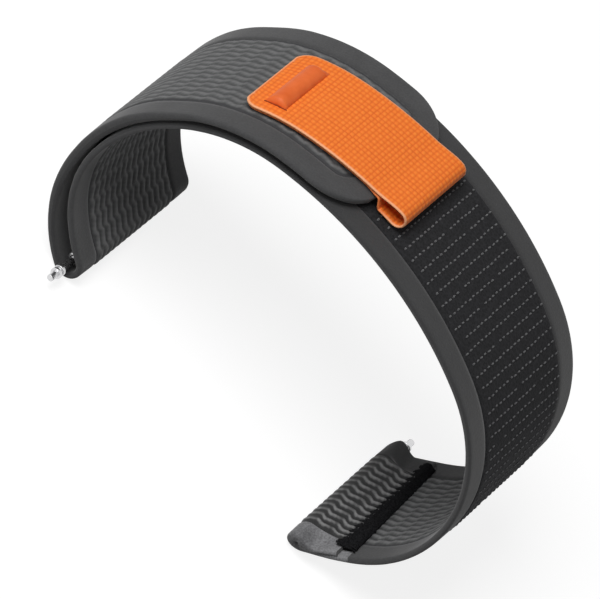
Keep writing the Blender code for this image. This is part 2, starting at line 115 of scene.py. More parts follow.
# The arch that the strip follows, as runs of constant radius from its top down each side
arch = {
    "right": [(0.0182, 0.0430), (0.0234, 0.0185), (0.0098, 0.0167), (math.inf, 0.0482)],
    "left": [(0.0127, 0.0430), (0.0252, 0.0202), (0.0099, 0.0139), (math.inf, 0.0174)],
    "rightLeg": 0.0574,
    "leftLeg": 0.0539,
    "leftFold": 0.00145,
    "rightFold": 0.00123,
    "layGap": 0.00008,
    "flap": 0.0045,
    "flapFace": 0.25,             # share of the fold's arc after which the ribs are the flap's
    "flapDrift": -0.0010,
    "flapThickness": 0.0008,
    "flapThinning": 0.0040,
    "flapEdgeClose": 0.0024,
    "flapEdgeSink": 0.00040,      # how far the flap's felted edge sinks into the band's
    "dropInset": 0.0001,          # the flap comes down from here to its selvedges
    "dropRun": 0.0008,
    "flapPanelShift": -0.0006,    # the flap's ribs lie further to the front than its edges
    "feltHole": 0.00050,          # the felted front edge closes the fold but for the bar's tip
    "holeFlat": 0.0002,
    "holeRun": 0.0006,
    "feltReach": 0.0012,
    "cornerPlace": 0.7,           # share of the fold's arc at which its corners lie
    "cornerInset": 0.0010,
    "cornerReach": 0.0032,
    "cornerPull": 0.0012,         # how far the fold's back corner is rounded in
    "cornerRun": 0.0014,
    "cornerPush": 0.0002,         # how far the felt is pushed out at the fold's front corner
    "pushRun": 0.0034,
    "endPull": 0.0009,            # the felted edge runs back in to the band's at the flap's end
    "endRun": 0.0040,
    "tailClose": 0.0150,
    "tailClimbStart": 0.0275,
    "tailClimb": 0.0060,
    "tailBow": 0.00045,           # how far the tail stands off the band where that turns most
    "bowFill": 0.95,              # how much of that the tail's selvedges fill on its under side
    "bowCentre": -0.0370,
    "bowFlat": 0.0040,
    "bowRun": 0.0120,
    "tailEnd": 0.0032,
    "tailCorner": 0.0060,
    "tailBorder": 0.0030,
    "tailDrift": -0.0004,
    "driftStart": 0.0450,
    "driftRun": 0.0250,
    "hookThickness": 0.00025,
}
leftArc = math.pi * arch["leftFold"]
rightArc = math.pi * arch["rightFold"]
layerPitch = strip["panelThickness"] + arch["layGap"]
flapPitch = (strip["panelThickness"] + arch["flapThickness"]) / 2 + arch["layGap"]
patchPitch = layerPitch + arch["hookThickness"] + arch["layGap"]


def archPoint(run):
    # Middle of the band and its outward normal, at a run from the arch's top
    side = 1 if run >= 0 else -1
    left, turned, x, z = abs(run), 0.0, 0.0, 0.0
    for length, radius in arch["right" if side > 0 else "left"]:
        step = min(left, length) / radius
        x += radius * (math.sin(turned + step) - math.sin(turned))
        z += radius * (math.cos(turned + step) - math.cos(turned))
        turned += step
        left -= min(left, length)
        if left <= 0:
            break
    return Vector((side * x, 0, z)), Vector((side * math.sin(turned), 0, math.cos(turned)))


def overBand(run, height):
    point, normal = archPoint(run)
    return point + normal * height


def aheadOf(normal):
    # The direction along the strip, from the normal on its outer face
    return Vector((normal.z, 0, -normal.x))


def smoothRise(value, start, length):
    share = min(max((value - start) / length, 0.0), 1.0)
    return share * share * (3 - 2 * share)


def tailBow(run):
    away = abs(run - arch["bowCentre"])
    return arch["tailBow"] * (1 - smoothRise(away, arch["bowFlat"], arch["bowRun"]))


def tailMiddle(run):
    closing = 1 - smoothRise(run + arch["leftLeg"], 0.0, arch["tailClose"])
    climbing = smoothRise(run, -arch["tailClimbStart"], arch["tailClimb"])
    lift = layerPitch + (patchPitch - layerPitch) * climbing + tailBow(run)
    return overBand(run, lift + (2 * arch["leftFold"] - layerPitch) * closing)


def tailDrift(run):
    # The tail doesn't lie quite square on the band: its end is a little to the front
    return arch["tailDrift"] * smoothRise(run, -arch["driftStart"], arch["driftRun"])


def flapLift(run, closeRun):
    closing = 1 - smoothRise(arch["rightLeg"] - run, 0.0, closeRun)
    return flapPitch + (2 * arch["rightFold"] - flapPitch) * closing


def flapMiddle(run):
    return overBand(run, -flapLift(run, arch["flap"]))


def stripMiddle(along):
    # 0 at the arch's top, positive right and round the right fold to the flap's end,
    # negative left, round the left fold and back along the tail to its rounded end
    right = along > 0
    leg = arch["rightLeg"] if right else arch["leftLeg"]
    radius = arch["rightFold"] if right else arch["leftFold"]
    past = abs(along) - leg
    if past <= 0:
        return archPoint(along)[0]
    if past >= math.pi * radius:
        back = leg - (past - math.pi * radius)
        return flapMiddle(back) if right else tailMiddle(-back)
    point, normal = archPoint(math.copysign(leg, along))
    inward = -1 if right else 1
    down = aheadOf(normal) * -inward
    centre = point + normal * inward * radius
    angle = past / radius
    return centre + (down * math.sin(angle) - normal * inward * math.cos(angle)) * radius


def onTail(run):
    # The place on the strip of the tail's point over a run of the band
    return -(2 * arch["leftLeg"] + run + leftArc)


# The frame's own pivot places the arch: the arm's flex line lies on the band's outer face
armFlexRun = 0.0085
flexPoint, flexNormal = archPoint(armFlexRun)
strapHome = pivots["arm_flex"] - flexPoint - flexNormal * strip["panelThickness"] / 2
footLevel = cadBox[0][2]
probe = 0.00001                   # how far to each side a direction along the strip is taken from
print("strap home", [round(value, 6) for value in strapHome])


def station(middle, along):
    # A middle line's point and the normal on its outer side
    ahead = middle(along + probe) - middle(along - probe)
    return middle(along) + strapHome, Vector((-ahead.z, 0, ahead.x)).normalized()


def hexColour(text):
    # sRGB hex to the linear values that a shader takes
    channels = [int(text[i:i + 2], 16) / 255 for i in (1, 3, 5)]
    linear = [c / 12.92 if c <= 0.04045 else ((c + 0.055) / 1.055) ** 2.4 for c in channels]
    return (*linear, 1.0)


def addNode(tree, kind, links=None, **settings):
    # Adds a node, sets its properties and input values, and links its inputs
    node = tree.nodes.new("ShaderNode" + kind)
    for key, value in settings.items():
        if hasattr(node, key):
            setattr(node, key, value)
        else:
            node.inputs[key.replace("_", " ")].default_value = value
    for socket, source in (links or {}).items():
        tree.links.new(source, node.inputs[socket])
    return node


def newMaterial(name, roughness, metallic=0.0, **sockets):
    # A Principled material, with its uniform values on the shader's own sockets, and its place
    material = bpy.data.materials.new(name)
    material.use_nodes = True
    tree = material.node_tree
    shader = tree.nodes["Principled BSDF"]
    for key, value in {"Roughness": roughness, "Metallic": metallic, **sockets}.items():
        shader.inputs[key.replace("_", " ")].default_value = value
    return material, tree, shader, addNode(tree, "TexCoord").outputs["Object"]


def patternSurface(tree, shader, tint, stops, height, depth, strength):
    # Colours the shader by one pattern and raises its surface by another, depth in metres
    ramp = addNode(tree, "ValToRGB", {"Fac": tint})
    elements = ramp.color_ramp.elements
    while len(elements) < len(stops):
        elements.new(0.5)
    for element, (place, colour) in zip(elements, stops):
        element.position = place
        element.color = hexColour(colour)
    tree.links.new(ramp.outputs["Color"], shader.inputs["Base Color"])
    bump = addNode(tree, "Bump", {"Height": height}, Distance=depth, Strength=strength)
    tree.links.new(bump.outputs["Normal"], shader.inputs["Normal"])
    return ramp.outputs["Color"]


# A nylon fibre is about 0.03 mm wide, which is too fine to show, so the fibre patterns below are
# drawn 0.12 to 0.22 mm wide. The tool lines on the steel, 0.01 mm in life, are drawn at 0.05 mm.
def selvedgeMaterial(name, dark, light, spread=0.2):
    # Brushed nylon selvedge: raised fibre ends scatter the light, so it reads matt and felt-like
    material, tree, shader, place = newMaterial(name, 0.88, Sheen_Weight=0.25, Sheen_Roughness=0.5)
    fibre = addNode(tree, "TexNoise", {"Vector": place}, Scale=1 / (0.22 * mm), Detail=4.0).outputs["Fac"]
    cloud = addNode(tree, "TexNoise", {"Vector": place}, Scale=1 / (2.5 * mm), Detail=2.0).outputs["Fac"]
    mixed = addNode(tree, "Mix", {2: fibre, 3: cloud}, Factor=0.35).outputs[0]
    stops = [(0.5 - spread, dark), (0.5 + spread, light)]
    patternSurface(tree, shader, mixed, stops, fibre, 0.05 * mm, 0.6)
    return material


def ribMaterial(name, groove, flank, crest):
    # Ribbed nylon weave: floats of light yarn over a darker ground, with a fine twist on them; the grooves
    # also carry painted shade
    material, tree, shader, place = newMaterial(name, 0.8, Sheen_Weight=0.15, Sheen_Roughness=0.5)
    relief = addNode(tree, "Attribute", attribute_name="relief").outputs["Fac"]
    # The UV map holds millimetres along and across the strip; a yarn takes 0.3 by 0.6 of them
    uv = addNode(tree, "UVMap", uv_map="weave").outputs["UV"]
    yarns = addNode(tree, "Mapping", {"Vector": uv}, Scale=(1 / 0.3, 1 / 0.6, 1)).outputs["Vector"]
    twist = addNode(tree, "TexWave", {"Vector": yarns}, Scale=0.31, Distortion=1.5,
                    bands_direction="DIAGONAL").outputs["Fac"]
    fibre = addNode(tree, "TexNoise", {"Vector": place}, Scale=1 / (0.2 * mm), Detail=3.0).outputs["Fac"]
    mixed = addNode(tree, "Mix", {2: relief, 3: twist}, Factor=0.10).outputs[0]
    spread = addNode(tree, "Mix", {2: mixed, 3: fibre}, Factor=0.16).outputs[0]
    # Low relief takes the darker colours: partly the darker ground yarn, partly painted shade in the
    # grooves
    stops = [(0.15, groove), (0.5, flank), (0.85, crest)]
    patternSurface(tree, shader, spread, stops, spread, 0.05 * mm, 0.5)
    return material


def pileMaterial(name, dark, light):
    # Napped loop pile: near-black, with no gloss, broken up by loops a third of a millimetre wide
    material, tree, shader, place = newMaterial(name, 0.95, Specular_IOR_Level=0.25)
    loops = addNode(tree, "TexVoronoi", {"Vector": place}, Scale=1 / (0.33 * mm)).outputs["Distance"]
    fibre = addNode(tree, "TexNoise", {"Vector": place}, Scale=1 / (0.18 * mm), Detail=4.0).outputs["Fac"]
    mixed = addNode(tree, "Mix", {2: loops, 3: fibre}, Factor=0.5).outputs[0]
    patternSurface(tree, shader, mixed, [(0.25, dark), (0.75, light)], mixed, 0.12 * mm, 0.8)
    return material


def threadMaterial(name, dark, light, roughness, sheen=0.2):
    # Spun polyester: matt, with its fibres seen as fine darker flecks; also for tape, and for the painted
    # shade in the grip's slot
    material, tree, shader, place = newMaterial(name, roughness, Sheen_Weight=sheen,
                                                Specular_IOR_Level=sheen)
    fibre = addNode(tree, "TexNoise", {"Vector": place}, Scale=1 / (0.15 * mm), Detail=4.0).outputs["Fac"]
    patternSurface(tree, shader, fibre, [(0.3, dark), (0.7, light)], fibre, 0.04 * mm, 0.7)
    return material


def webbingMaterial(name, groove, flank, crest, edge):
    # Plain-woven polyester webbing of one orange: its yarn crowns painted lighter and its dips darker, as
    # painted highlight and painted shade of the weave, and a paler line along the edges, a painted
    # highlight on the rim
    material, tree, shader, place = newMaterial(name, 0.7, Sheen_Weight=0.08, Sheen_Roughness=0.4)
    relief = addNode(tree, "Attribute", attribute_name="relief").outputs["Fac"]
    rim = addNode(tree, "Attribute", attribute_name="rim").outputs["Fac"]
    fibre = addNode(tree, "TexNoise", {"Vector": place}, Scale=1 / (0.12 * mm), Detail=3.0).outputs["Fac"]
    cloud = addNode(tree, "TexNoise", {"Vector": place}, Scale=1 / (1.8 * mm), Detail=2.0).outputs["Fac"]
    mixed = addNode(tree, "Mix", {2: relief, 3: fibre}, Factor=0.2).outputs[0]
    spread = addNode(tree, "Mix", {2: mixed, 3: cloud}, Factor=0.15).outputs[0]
    stops = [(0.15, groove), (0.5, flank), (0.85, crest)]
    colour = patternSurface(tree, shader, spread, stops, spread, 0.04 * mm, 0.5)
    highlighted = addNode(tree, "Mix", {0: rim, 6: colour}, data_type="RGBA")
    highlighted.inputs[7].default_value = hexColour(edge)
    tree.links.new(highlighted.outputs[2], shader.inputs["Base Color"])
    return material


def rubberMaterial(name, dark, light):
    # Moulded silicone: satin, nearly even, with a faint eggshell texture from the mould
    material, tree, shader, place = newMaterial(
        name, 0.5, Specular_IOR_Level=0.25, Subsurface_Weight=0.03, Subsurface_Scale=1.0,
        Subsurface_Radius=(0.6 * mm, 0.25 * mm, 0.12 * mm))
    cloud = addNode(tree, "TexNoise", {"Vector": place}, Scale=1 / (1.5 * mm), Detail=2.0).outputs["Fac"]
    egg = addNode(tree, "TexNoise", {"Vector": place}, Scale=1 / (0.12 * mm), Detail=2.0).outputs["Fac"]
    patternSurface(tree, shader, cloud, [(0.3, dark), (0.7, light)], egg, 0.01 * mm, 0.4)
    return material


def steelMaterial(name, colour, roughness, lineSize):
    # Stainless steel, turned and polished: fine tool lines run round it and blur its highlights
    material, tree, shader, place = newMaterial(name, roughness, 1.0, Base_Color=hexColour(colour))
    scale = (1 / mm, 1 / lineSize, 1 / mm)
    turned = addNode(tree, "Mapping", {"Vector": place}, Scale=scale).outputs["Vector"]
    lines = addNode(tree, "TexNoise", {"Vector": turned}, Scale=1.0, Detail=3.0).outputs["Fac"]
    blur = addNode(tree, "MapRange", {"Value": lines}, To_Min=roughness * 0.7, To_Max=roughness * 1.5)
    tree.links.new(blur.outputs["Result"], shader.inputs["Roughness"])
    bump = addNode(tree, "Bump", {"Height": lines}, Distance=0.002 * mm, Strength=0.5)
    tree.links.new(bump.outputs["Normal"], shader.inputs["Normal"])
    return material


skinSelvedge = selvedgeMaterial("nylon_selvedge_skin_side", "#303031", "#414142")
pileSelvedge = selvedgeMaterial("nylon_selvedge_pile_side", "#232324", "#303031")
# The felted front edge is painted far lighter than the other selvedges: painted light, where that edge
# faces the lamps
litFlapSelvedge = selvedgeMaterial("nylon_selvedge_felted_painted_light", "#5a5a5c", "#88888a", 0.14)
skinRibs = ribMaterial("nylon_rib_weave", "#28282a", "#494a4a", "#6a6a6b")
# The flap's grooves are painted near black and its crests light: painted shade and painted highlight of the
# grazing light, over the weave's own two tones
flapRibs = ribMaterial("nylon_rib_weave_flap_painted_light", "#09090a", "#222223", "#7e7e7e")
loopPile = pileMaterial("nylon_loop_pile", "#141415", "#2a2a2c")
dashThread = threadMaterial("grey_float_thread", "#454547", "#6c6c6e", 0.8)
seamThread = threadMaterial("black_sewing_thread", "#040405", "#262628", 0.95, 0.03)
hookTape = threadMaterial("black_hook_tape", "#0d0d0e", "#19191a", 0.6)
# The webbing's last colour is the painted highlight along its edges
orangeWebbing = webbingMaterial("orange_plain_webbing", "#dc620e", "#f2781e", "#fa8a2e", "#f4ac7c")
coralRubber = rubberMaterial("coral_silicone", "#dc6226", "#e87034")
# The slot's dark orange is painted shade: the shadowed inside of the slot under the grip's front end
slotShadow = threadMaterial("slot_painted_shade", "#7c2c0c", "#98380f", 0.8)
barSteel = steelMaterial("stainless_steel_turned_polished", "#d6d6d7", 0.24, 0.05 * mm)
springWire = steelMaterial("spring_steel_drawn", "#9a9a9d", 0.3, 0.4 * mm)
print("materials made")

stripMaterials = [skinSelvedge, skinRibs, loopPile, pileSelvedge, flapRibs, litFlapSelvedge, dashThread]
stripKinds = {"skinSelvedge": 0, "ribs": 1, "pile": 2, "pileSelvedge": 3, "flapRibs": 4, "felt": 5,
              "floats": 6}


def newObject(name, bm, materials):
    mesh = bpy.data.meshes.new(name)
    bm.to_mesh(mesh)
    bm.free()
    for material in materials:
        mesh.materials.append(material)
    piece = bpy.data.objects.new(name, mesh)
    bpy.context.scene.collection.objects.link(piece)
    return piece


def smoothFaces(bm):
    for face in bm.faces:
        face.smooth = True


def turnOutward(bm):
    # Turns the faces of each closed part of the mesh outward
    bmesh.ops.recalc_face_normals(bm, faces=bm.faces)
    if bm.calc_volume(signed=True) < 0:
        bmesh.ops.reverse_faces(bm, faces=bm.faces)


def joinInto(bm, other):
    # Moves all of another bmesh into this one
    mesh = bpy.data.meshes.new("joined")
    other.to_mesh(mesh)
    other.free()
    bm.from_mesh(mesh)
    bpy.data.meshes.remove(mesh)


def halfColumns():
    # Places across one face of the strip, from the middle to the rim, in metres
    halfPanel = strip["panelWidth"] / 2
    count = strip["ribCount"] * strip["columnsPerRib"] // 2
    places = [halfPanel * i / count for i in range(count)]
    foot = halfPanel + strip["stepRun"]
    places += [halfPanel + strip["stepRun"] * i / strip["stepColumns"] for i in range(strip["stepColumns"])]
    shoulder = strip["width"] / 2 - strip["rimRun"]
    flat = strip["selvedgeColumns"]
    places += [foot + (shoulder - foot) * i / flat for i in range(flat)]
    turns = [math.pi / 2 * i / strip["rimColumns"] for i in range(strip["rimColumns"] + 1)]
    return places + [shoulder + strip["rimRun"] * math.sin(turn) for turn in turns]


def ringColumns():
    # Round the whole section once: the skin face from front to back, then the pile face back again
    half = halfColumns()
    face = [-place for place in reversed(half[1:])] + half
    ring = [(place, -1) for place in face]
    ring += [(place, 1) for place in reversed(face[1:-1])]
    return ring + [ring[0]]


def ribWave(along, side):
    # How far the ribs wander sideways: a skewed wave, each rib a little out of step. The last
    # number in a noise vector, here and below, only picks another stretch of the noise.
    phase = 2 * math.pi * along / strip["waveRun"]
    rib = math.floor(side / (strip["panelWidth"] / strip["ribCount"]))
    drift = noise.noise(Vector((along / strip["driftRun"], rib * 0.7, 3.0)))
    phase += strip["driftPhase"] * drift
    wave = math.sin(phase) + strip["waveSkew"] * math.sin(2 * phase)
    return strip["waveReach"] * wave * (1 + strip["driftReach"] * drift)


def ribShape(along, side):
    # 0 in a groove, 1 on a crest, dipping where one float ends and the next begins
    pitch = strip["panelWidth"] / strip["ribCount"]
    across = (side + ribWave(along, side)) / pitch
    crown = 0.5 - 0.5 * math.cos(2 * math.pi * across)
    between = 0.5 + 0.5 * math.cos(2 * math.pi * along / strip["waveRun"] + strip["dipPhase"])
    return crown ** strip["crestPower"] * (1 - strip["dip"] * between ** 3)


def tailHalf(left):
    # Half the strip's width at a distance from the tail's round end
    corner = max(arch["tailCorner"] - left, 0.0)
    return strip["width"] / 2 - arch["tailCorner"] + math.sqrt(arch["tailCorner"] ** 2 - corner ** 2)


def insidePanel(along, out):
    # How far a place lies inside the ribbed panel, which ends in a curve short of the tail's end
    inside = strip["panelWidth"] / 2 + strip["stepRun"] / 2 - out
    left = abs(onTail(-arch["tailEnd"])) - abs(along) if along < 0 else 1.0
    corner = arch["tailCorner"]
    if left > corner:
        return inside
    outHere = out * tailHalf(max(left, 0.0)) / (strip["width"] / 2)
    past = max(outHere - strip["width"] / 2 + corner, 0.0)
    return min(inside, corner - math.hypot(corner - left, past) - arch["tailBorder"])


def stripFace(along, side, sign):
    # Height over the middle plane, the relief for the material and the material's index
    halfPanel = strip["panelWidth"] / 2
    onFlap = sign > 0 and along > arch["rightLeg"] + arch["flapFace"] * rightArc
    atFold = abs(along - arch["rightLeg"] - rightArc / 2) < rightArc / 2 + arch["flap"] + arch["feltReach"]
    litFeltedEdge = side < 0 and (onFlap or atFold and -side > strip["width"] / 2 - arch["feltReach"])
    if onFlap:
        side -= arch["flapPanelShift"] * smoothRise(along, arch["rightLeg"], rightArc / 2)
    out = abs(side)
    inside = insidePanel(along, out)
    groove = math.exp(-(inside / strip["grooveRun"]) ** 2) * strip["grooveDepth"]
    if inside < 0:
        grain = noise.noise(Vector((along / strip["grainAlong"], side / strip["grainSide"], 7.0 * sign)))
        fall = max(out - halfPanel, 0.0) / (strip["width"] / 2 - halfPanel)
        height = strip["selvedgeThickness"] / 2 - strip["selvedgeFall"] * fall ** strip["selvedgeCurve"]
        height += strip["grainDepth"] * grain
        # The front selvedge at the fold and on the flap takes the lighter colour: painted light
        kind = "felt" if litFeltedEdge else "pileSelvedge" if sign > 0 else "skinSelvedge"
        return height - groove, 0.5 + 0.5 * grain, stripKinds[kind]
    edge = 1 - smoothRise(inside, 0.0, strip["stepRun"])
    if sign > 0 and not onFlap:
        loops = noise.noise(Vector((along / strip["pileGrain"], side / strip["pileGrain"], 11.0)))
        step = (strip["panelThickness"] - strip["selvedgeThickness"]) / 2
        height = strip["panelThickness"] / 2 - strip["pileDepth"] * (0.5 - 0.5 * loops) - step * edge
        return height, 0.5 + 0.5 * loops, stripKinds["pile"]
    crown = ribShape(along, side) * (1 - edge)
    depth = strip["ribDepth"]
    if onFlap:
        flat = 1 - smoothRise(along, arch["rightLeg"] + rightArc, strip["flapFlatRun"])
        depth = strip["flapRibDepth"] * (1 - strip["flapFlat"] * flat)
    elif along < -arch["leftLeg"] - leftArc:
        depth = strip["tailRibDepth"]
        valley = math.exp(-((inside - strip["valleyPlace"]) / strip["valleyRun"]) ** 2)
        crown = strip["tailCrownFoot"] + strip["tailCrownRise"] * crown - strip["tailValley"] * valley
    height = strip["panelThickness"] / 2 - depth * (1 - crown)
    if edge > 0.5:
        height = max(height, strip["selvedgeThickness"] / 2 - depth * strip["edgeSink"])
    return height - groove, crown, stripKinds["flapRibs" if onFlap else "ribs"]


def flapThinning(along):
    # The strip is pressed thinner where it goes tightly round the right bar and back as the flap
    thinner = smoothRise(along, arch["rightLeg"] - arch["flapThinning"], arch["flapThinning"])
    return 1 - (1 - arch["flapThickness"] / strip["panelThickness"]) * thinner


def flapEdgeDrop(along):
    # The flap's selvedges come down past the bar and are felted to the band's
    past = along - arch["rightLeg"] - rightArc
    if past <= 0:
        return 0.0
    run = arch["rightLeg"] - past
    sink = arch["flapEdgeSink"] * smoothRise(past, 0.0, arch["flapEdgeClose"])
    return flapLift(run, arch["flap"]) - flapLift(run, arch["flapEdgeClose"]) + sink


def foldFelt(along):
    # How thick the front edge is felted on its inner side, where it closes the right fold's end
    outside = max(abs(along - arch["rightLeg"] - rightArc / 2) - rightArc / 2, 0.0)
    if outside >= arch["flapEdgeClose"]:
        return 0.0
    sink = arch["flapEdgeSink"] * smoothRise(outside, 0.0, arch["flapEdgeClose"])
    apart = flapLift(arch["rightLeg"] - outside, arch["flapEdgeClose"]) - sink
    return apart / 2 - arch["feltHole"] * (1 - smoothRise(outside, arch["holeFlat"], arch["holeRun"]))


def cornerShift(along, side):
    # The fold's back corner is rounded in, and its felted front corner is pushed out
    away = abs(along - arch["rightLeg"] - arch["cornerPlace"] * rightArc)
    outer = smoothRise(abs(side), strip["panelWidth"] / 2 - arch["cornerInset"], arch["cornerReach"])
    if side > 0:
        return -arch["cornerPull"] * outer * (1 - smoothRise(away, 0.0, arch["cornerRun"]))
    pushed = -arch["cornerPush"] * (1 - smoothRise(away, 0.0, arch["pushRun"]))
    flapEnd = arch["rightLeg"] + rightArc + arch["flap"]
    return outer * (pushed + arch["endPull"] * smoothRise(along, flapEnd - arch["endRun"], arch["endRun"]))


def layStrip(bm, start, end, tailTip=False):
    # A flat blank as long as the run and as wide as the section is round, bent into the strip
    ring = ringColumns()
    stations = max(2, math.ceil((end - start) / strip["stationRun"]))
    around = len(ring) - 1
    uvLayer = bm.loops.layers.uv.new("weave")
    reliefLayer = bm.verts.layers.float.new("relief")
    bmesh.ops.create_grid(bm, x_segments=stations, y_segments=around, size=1.0)
    places = []
    for vertex in bm.verts:
        column = round((vertex.co.y + 1) / 2 * around)
        row = round((vertex.co.x + 1) / 2 * stations)
        places.append((start + (end - start) * row / stations, *ring[column], row))
    bm.verts.index_update()
    for face in bm.faces:
        along = side = sign = 0.0
        for loop in face.loops:
            place = places[loop.vert.index]
            loop[uvLayer].uv = (place[0] / mm, place[1] / mm)
            along += place[0] / 4
            side += place[1] / 4
            sign += place[2]
        face.material_index = stripFace(along, side, 1 if sign > 0 else -1)[2]
    smoothFaces(bm)
    lines = [station(stripMiddle, start + (end - start) * row / stations) for row in range(stations + 1)]
    halfPanel = strip["panelWidth"] / 2
    shoulder = strip["width"] / 2 - strip["rimRun"]
    for vertex, (along, side, sign, row) in zip(bm.verts, places):
        height, vertex[reliefLayer] = stripFace(along, side, sign)[:2]
        onTailRun = along < -arch["leftLeg"] - leftArc
        run = -along - leftArc - 2 * arch["leftLeg"]
        if onTailRun and sign > 0 and abs(side) > halfPanel:
            height += arch["bowFill"] * tailBow(run)
        past = max(abs(side) - shoulder, 0.0) / strip["rimRun"]
        height *= math.sqrt(max(1 - past * past, 0.0))
        if tailTip:
            left = along - start
            side *= tailHalf(left) / (strip["width"] / 2)
            near = max(strip["rimRun"] - left, 0.0) / strip["rimRun"]
            height *= strip["rimTip"] + (1 - strip["rimTip"]) * math.sqrt(1 - near * near)
        height *= flapThinning(along)
        if sign < 0 and -side > shoulder + strip["rimRun"] - arch["feltReach"] and past < 1:
            height = max(height, foldFelt(along))
        out = abs(side - arch["flapPanelShift"])
        down = smoothRise(out, halfPanel - arch["dropInset"], strip["stepRun"] + arch["dropRun"])
        drop = flapEdgeDrop(along) * down
        side += cornerShift(along, side)
        side += arch["flapDrift"] * smoothRise(along, arch["rightLeg"], rightArc)
        if onTailRun:
            side += tailDrift(run)
        point, normal = lines[row]
        vertex.co = point + normal * (height * sign - drop) + Vector((0, side, 0))
        vertex.co.z = max(vertex.co.z, footLevel)
    bmesh.ops.remove_doubles(bm, verts=bm.verts, dist=weld)
    openEdges = [edge for edge in bm.edges if edge.is_boundary]
    for cap in bmesh.ops.holes_fill(bm, edges=openEdges, sides=0)["faces"]:
        cap.smooth = False
        cap.material_index = stripKinds["skinSelvedge"]
    for edge in openEdges:
        edge.smooth = tailTip and abs(edge.verts[0].co.x - lines[0][0].x) < strip["rimRun"]
    turnOutward(bm)


# The rows of grey floats that show on the pile
dashes = {
    "start": -0.00152,
    "rowRun": 0.00143,
    "rowShift": 0.4,              # every other row is moved sideways by this share of the pitch
    "pitch": 0.00080,
    "length": 0.00058,
    "lengthSpread": 0.3,
    "width": 0.00028,
    "rise": 0.00009,
    "reach": 0.0077,
    "strayAlong": 0.00012,
    "straySide": 0.00014,
    "missing": -0.46,             # where the noise is below this, a float is left out
}


def sowDashes(bm, start, end):
    # One small lump for each float, laid in rows across the strip
    firstRow = math.ceil((max(start, dashes["start"]) - dashes["start"]) / dashes["rowRun"])
    lastRow = math.floor((end - dashes["start"]) / dashes["rowRun"])
    count = int(dashes["reach"] / dashes["pitch"])
    for row in range(firstRow, lastRow + 1):
        for i in range(-count, count + 1):
            chance = noise.noise(Vector((row * 1.37, i * 0.83, 5.0)))
            if chance < dashes["missing"]:
                continue
            shove = noise.noise(Vector((row * 0.91, i * 1.71, 9.0)))
            along = dashes["start"] + row * dashes["rowRun"] + dashes["strayAlong"] * shove
            side = i * dashes["pitch"] + dashes["straySide"] * chance
            side += dashes["rowShift"] * dashes["pitch"] if row % 2 else 0.0
            point, normal = station(stripMiddle, along)
            turn = Matrix((aheadOf(normal), Vector((0, 1, 0)), normal)).transposed().to_4x4()
            length = dashes["length"] * (1 + dashes["lengthSpread"] * shove)
            size = Matrix.Diagonal((dashes["width"] / 2, length / 2, dashes["rise"] / 2, 1.0))
            place = point + normal * strip["panelThickness"] / 2 + Vector((0, side, 0))
            bmesh.ops.create_icosphere(bm, subdivisions=1, radius=1.0,
                                       matrix=Matrix.Translation(place) @ turn @ size)
    for face in bm.faces:
        face.material_index = stripKinds["floats"]
    smoothFaces(bm)


def stripPiece(name, start, end, dashRun=None, tailTip=False):
    bm = bmesh.new()
    layStrip(bm, start, end, tailTip)
    if dashRun:
        floats = bmesh.new()
        sowDashes(floats, *dashRun)
        joinInto(bm, floats)
    piece = newObject(name, bm, stripMaterials)
    print(name, len(piece.data.polygons), "faces")
    return piece


def blendAcross(piece, along, reach):
    # Bakes the piece's placement into its mesh
    point, normal = station(stripMiddle, along)
    ahead = aheadOf(normal) * reach
    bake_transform(piece)


# Where the strip is cut into pieces, and the flex lines along it
cuts = {
    "tailStart": onTail(-arch["leftLeg"]) - 0.0022,
    "tailMiddle": onTail(-0.0385),
    "tailEnd": onTail(-arch["tailEnd"]),
    "arm": 0.0210,
    "flapEnd": arch["rightLeg"] + rightArc + arch["flap"],
    "peelRun": -(arch["leftLeg"] - 0.0042),
    "curlRun": -0.0290,
    "endFlexRun": 0.0340,
    "flexReach": 0.0035,          # a run to each side of a flex line
    "peelReach": 0.0018,
}

band = stripPiece("woven_band", cuts["tailStart"], cuts["arm"], (dashes["start"], cuts["arm"]))
blendAcross(band, armFlexRun, cuts["flexReach"])
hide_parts("band_middle", "left_lug_fold")

armPiece = stripPiece("woven_arm", cuts["arm"], cuts["flapEnd"], (cuts["arm"], arch["rightLeg"]))
blendAcross(armPiece, cuts["endFlexRun"], cuts["flexReach"])
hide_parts("arm_upper", "arm_lower", "right_lug_fold")

tailRoot = stripPiece("woven_tail_root", cuts["tailMiddle"], cuts["tailStart"])
blendAcross(tailRoot, onTail(cuts["peelRun"]), -cuts["peelReach"])
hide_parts("tail_lower")

tailEnd = stripPiece("woven_tail_end", cuts["tailEnd"], cuts["tailMiddle"], tailTip=True)
blendAcross(tailEnd, onTail(cuts["curlRun"]), -cuts["flexReach"])
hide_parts("tail_upper")

# The pull tab: a narrow plain-woven webbing, doubled, with its fold past the tail's end
tab = {
    "width": 0.0128,
    "side": -0.00113,
    "skew": 3.56,                 # degrees that the tab slants to the back towards its fold
    "ply": 0.00036,
    "plyGap": 0.00008,
    "start": -0.0199,
    "flex": -0.0038,
    "flexReach": 0.0008,
    "corner": 0.0018,
    "foldReach": 0.0009,
    "foldRest": 0.0003,
    "foldHeight": 0.0020,
    "stepStart": -0.0031,
    "stepRun": 0.0009,
    "warp": 0.00066,              # a crown across the webbing
    "weft": 0.00051,              # a crown along it
    "crownPower": 0.8,
    "lowerCrown": 0.2,            # how much lower every other crown is
    "relief": 0.00005,
    "rimRun": 0.00016,
    "endThin": 0.2,
    "stationRun": 0.00010,
    "columns": 92,
    "rimColumns": 3,
    "highlightRun": 0.00022,
    "highlightFlat": 0.4,
    "underHighlight": 0.2,             # how much of the painted edge highlight the lower ply has, in the upper one's shade
    "underInset": 0.00030,        # the lower ply hides under the upper one's edge
    "partRun": 0.0050,            # but comes out where the two part before the fold
}
tabUnder = patchPitch + strip["panelThickness"] / 2 + arch["layGap"]
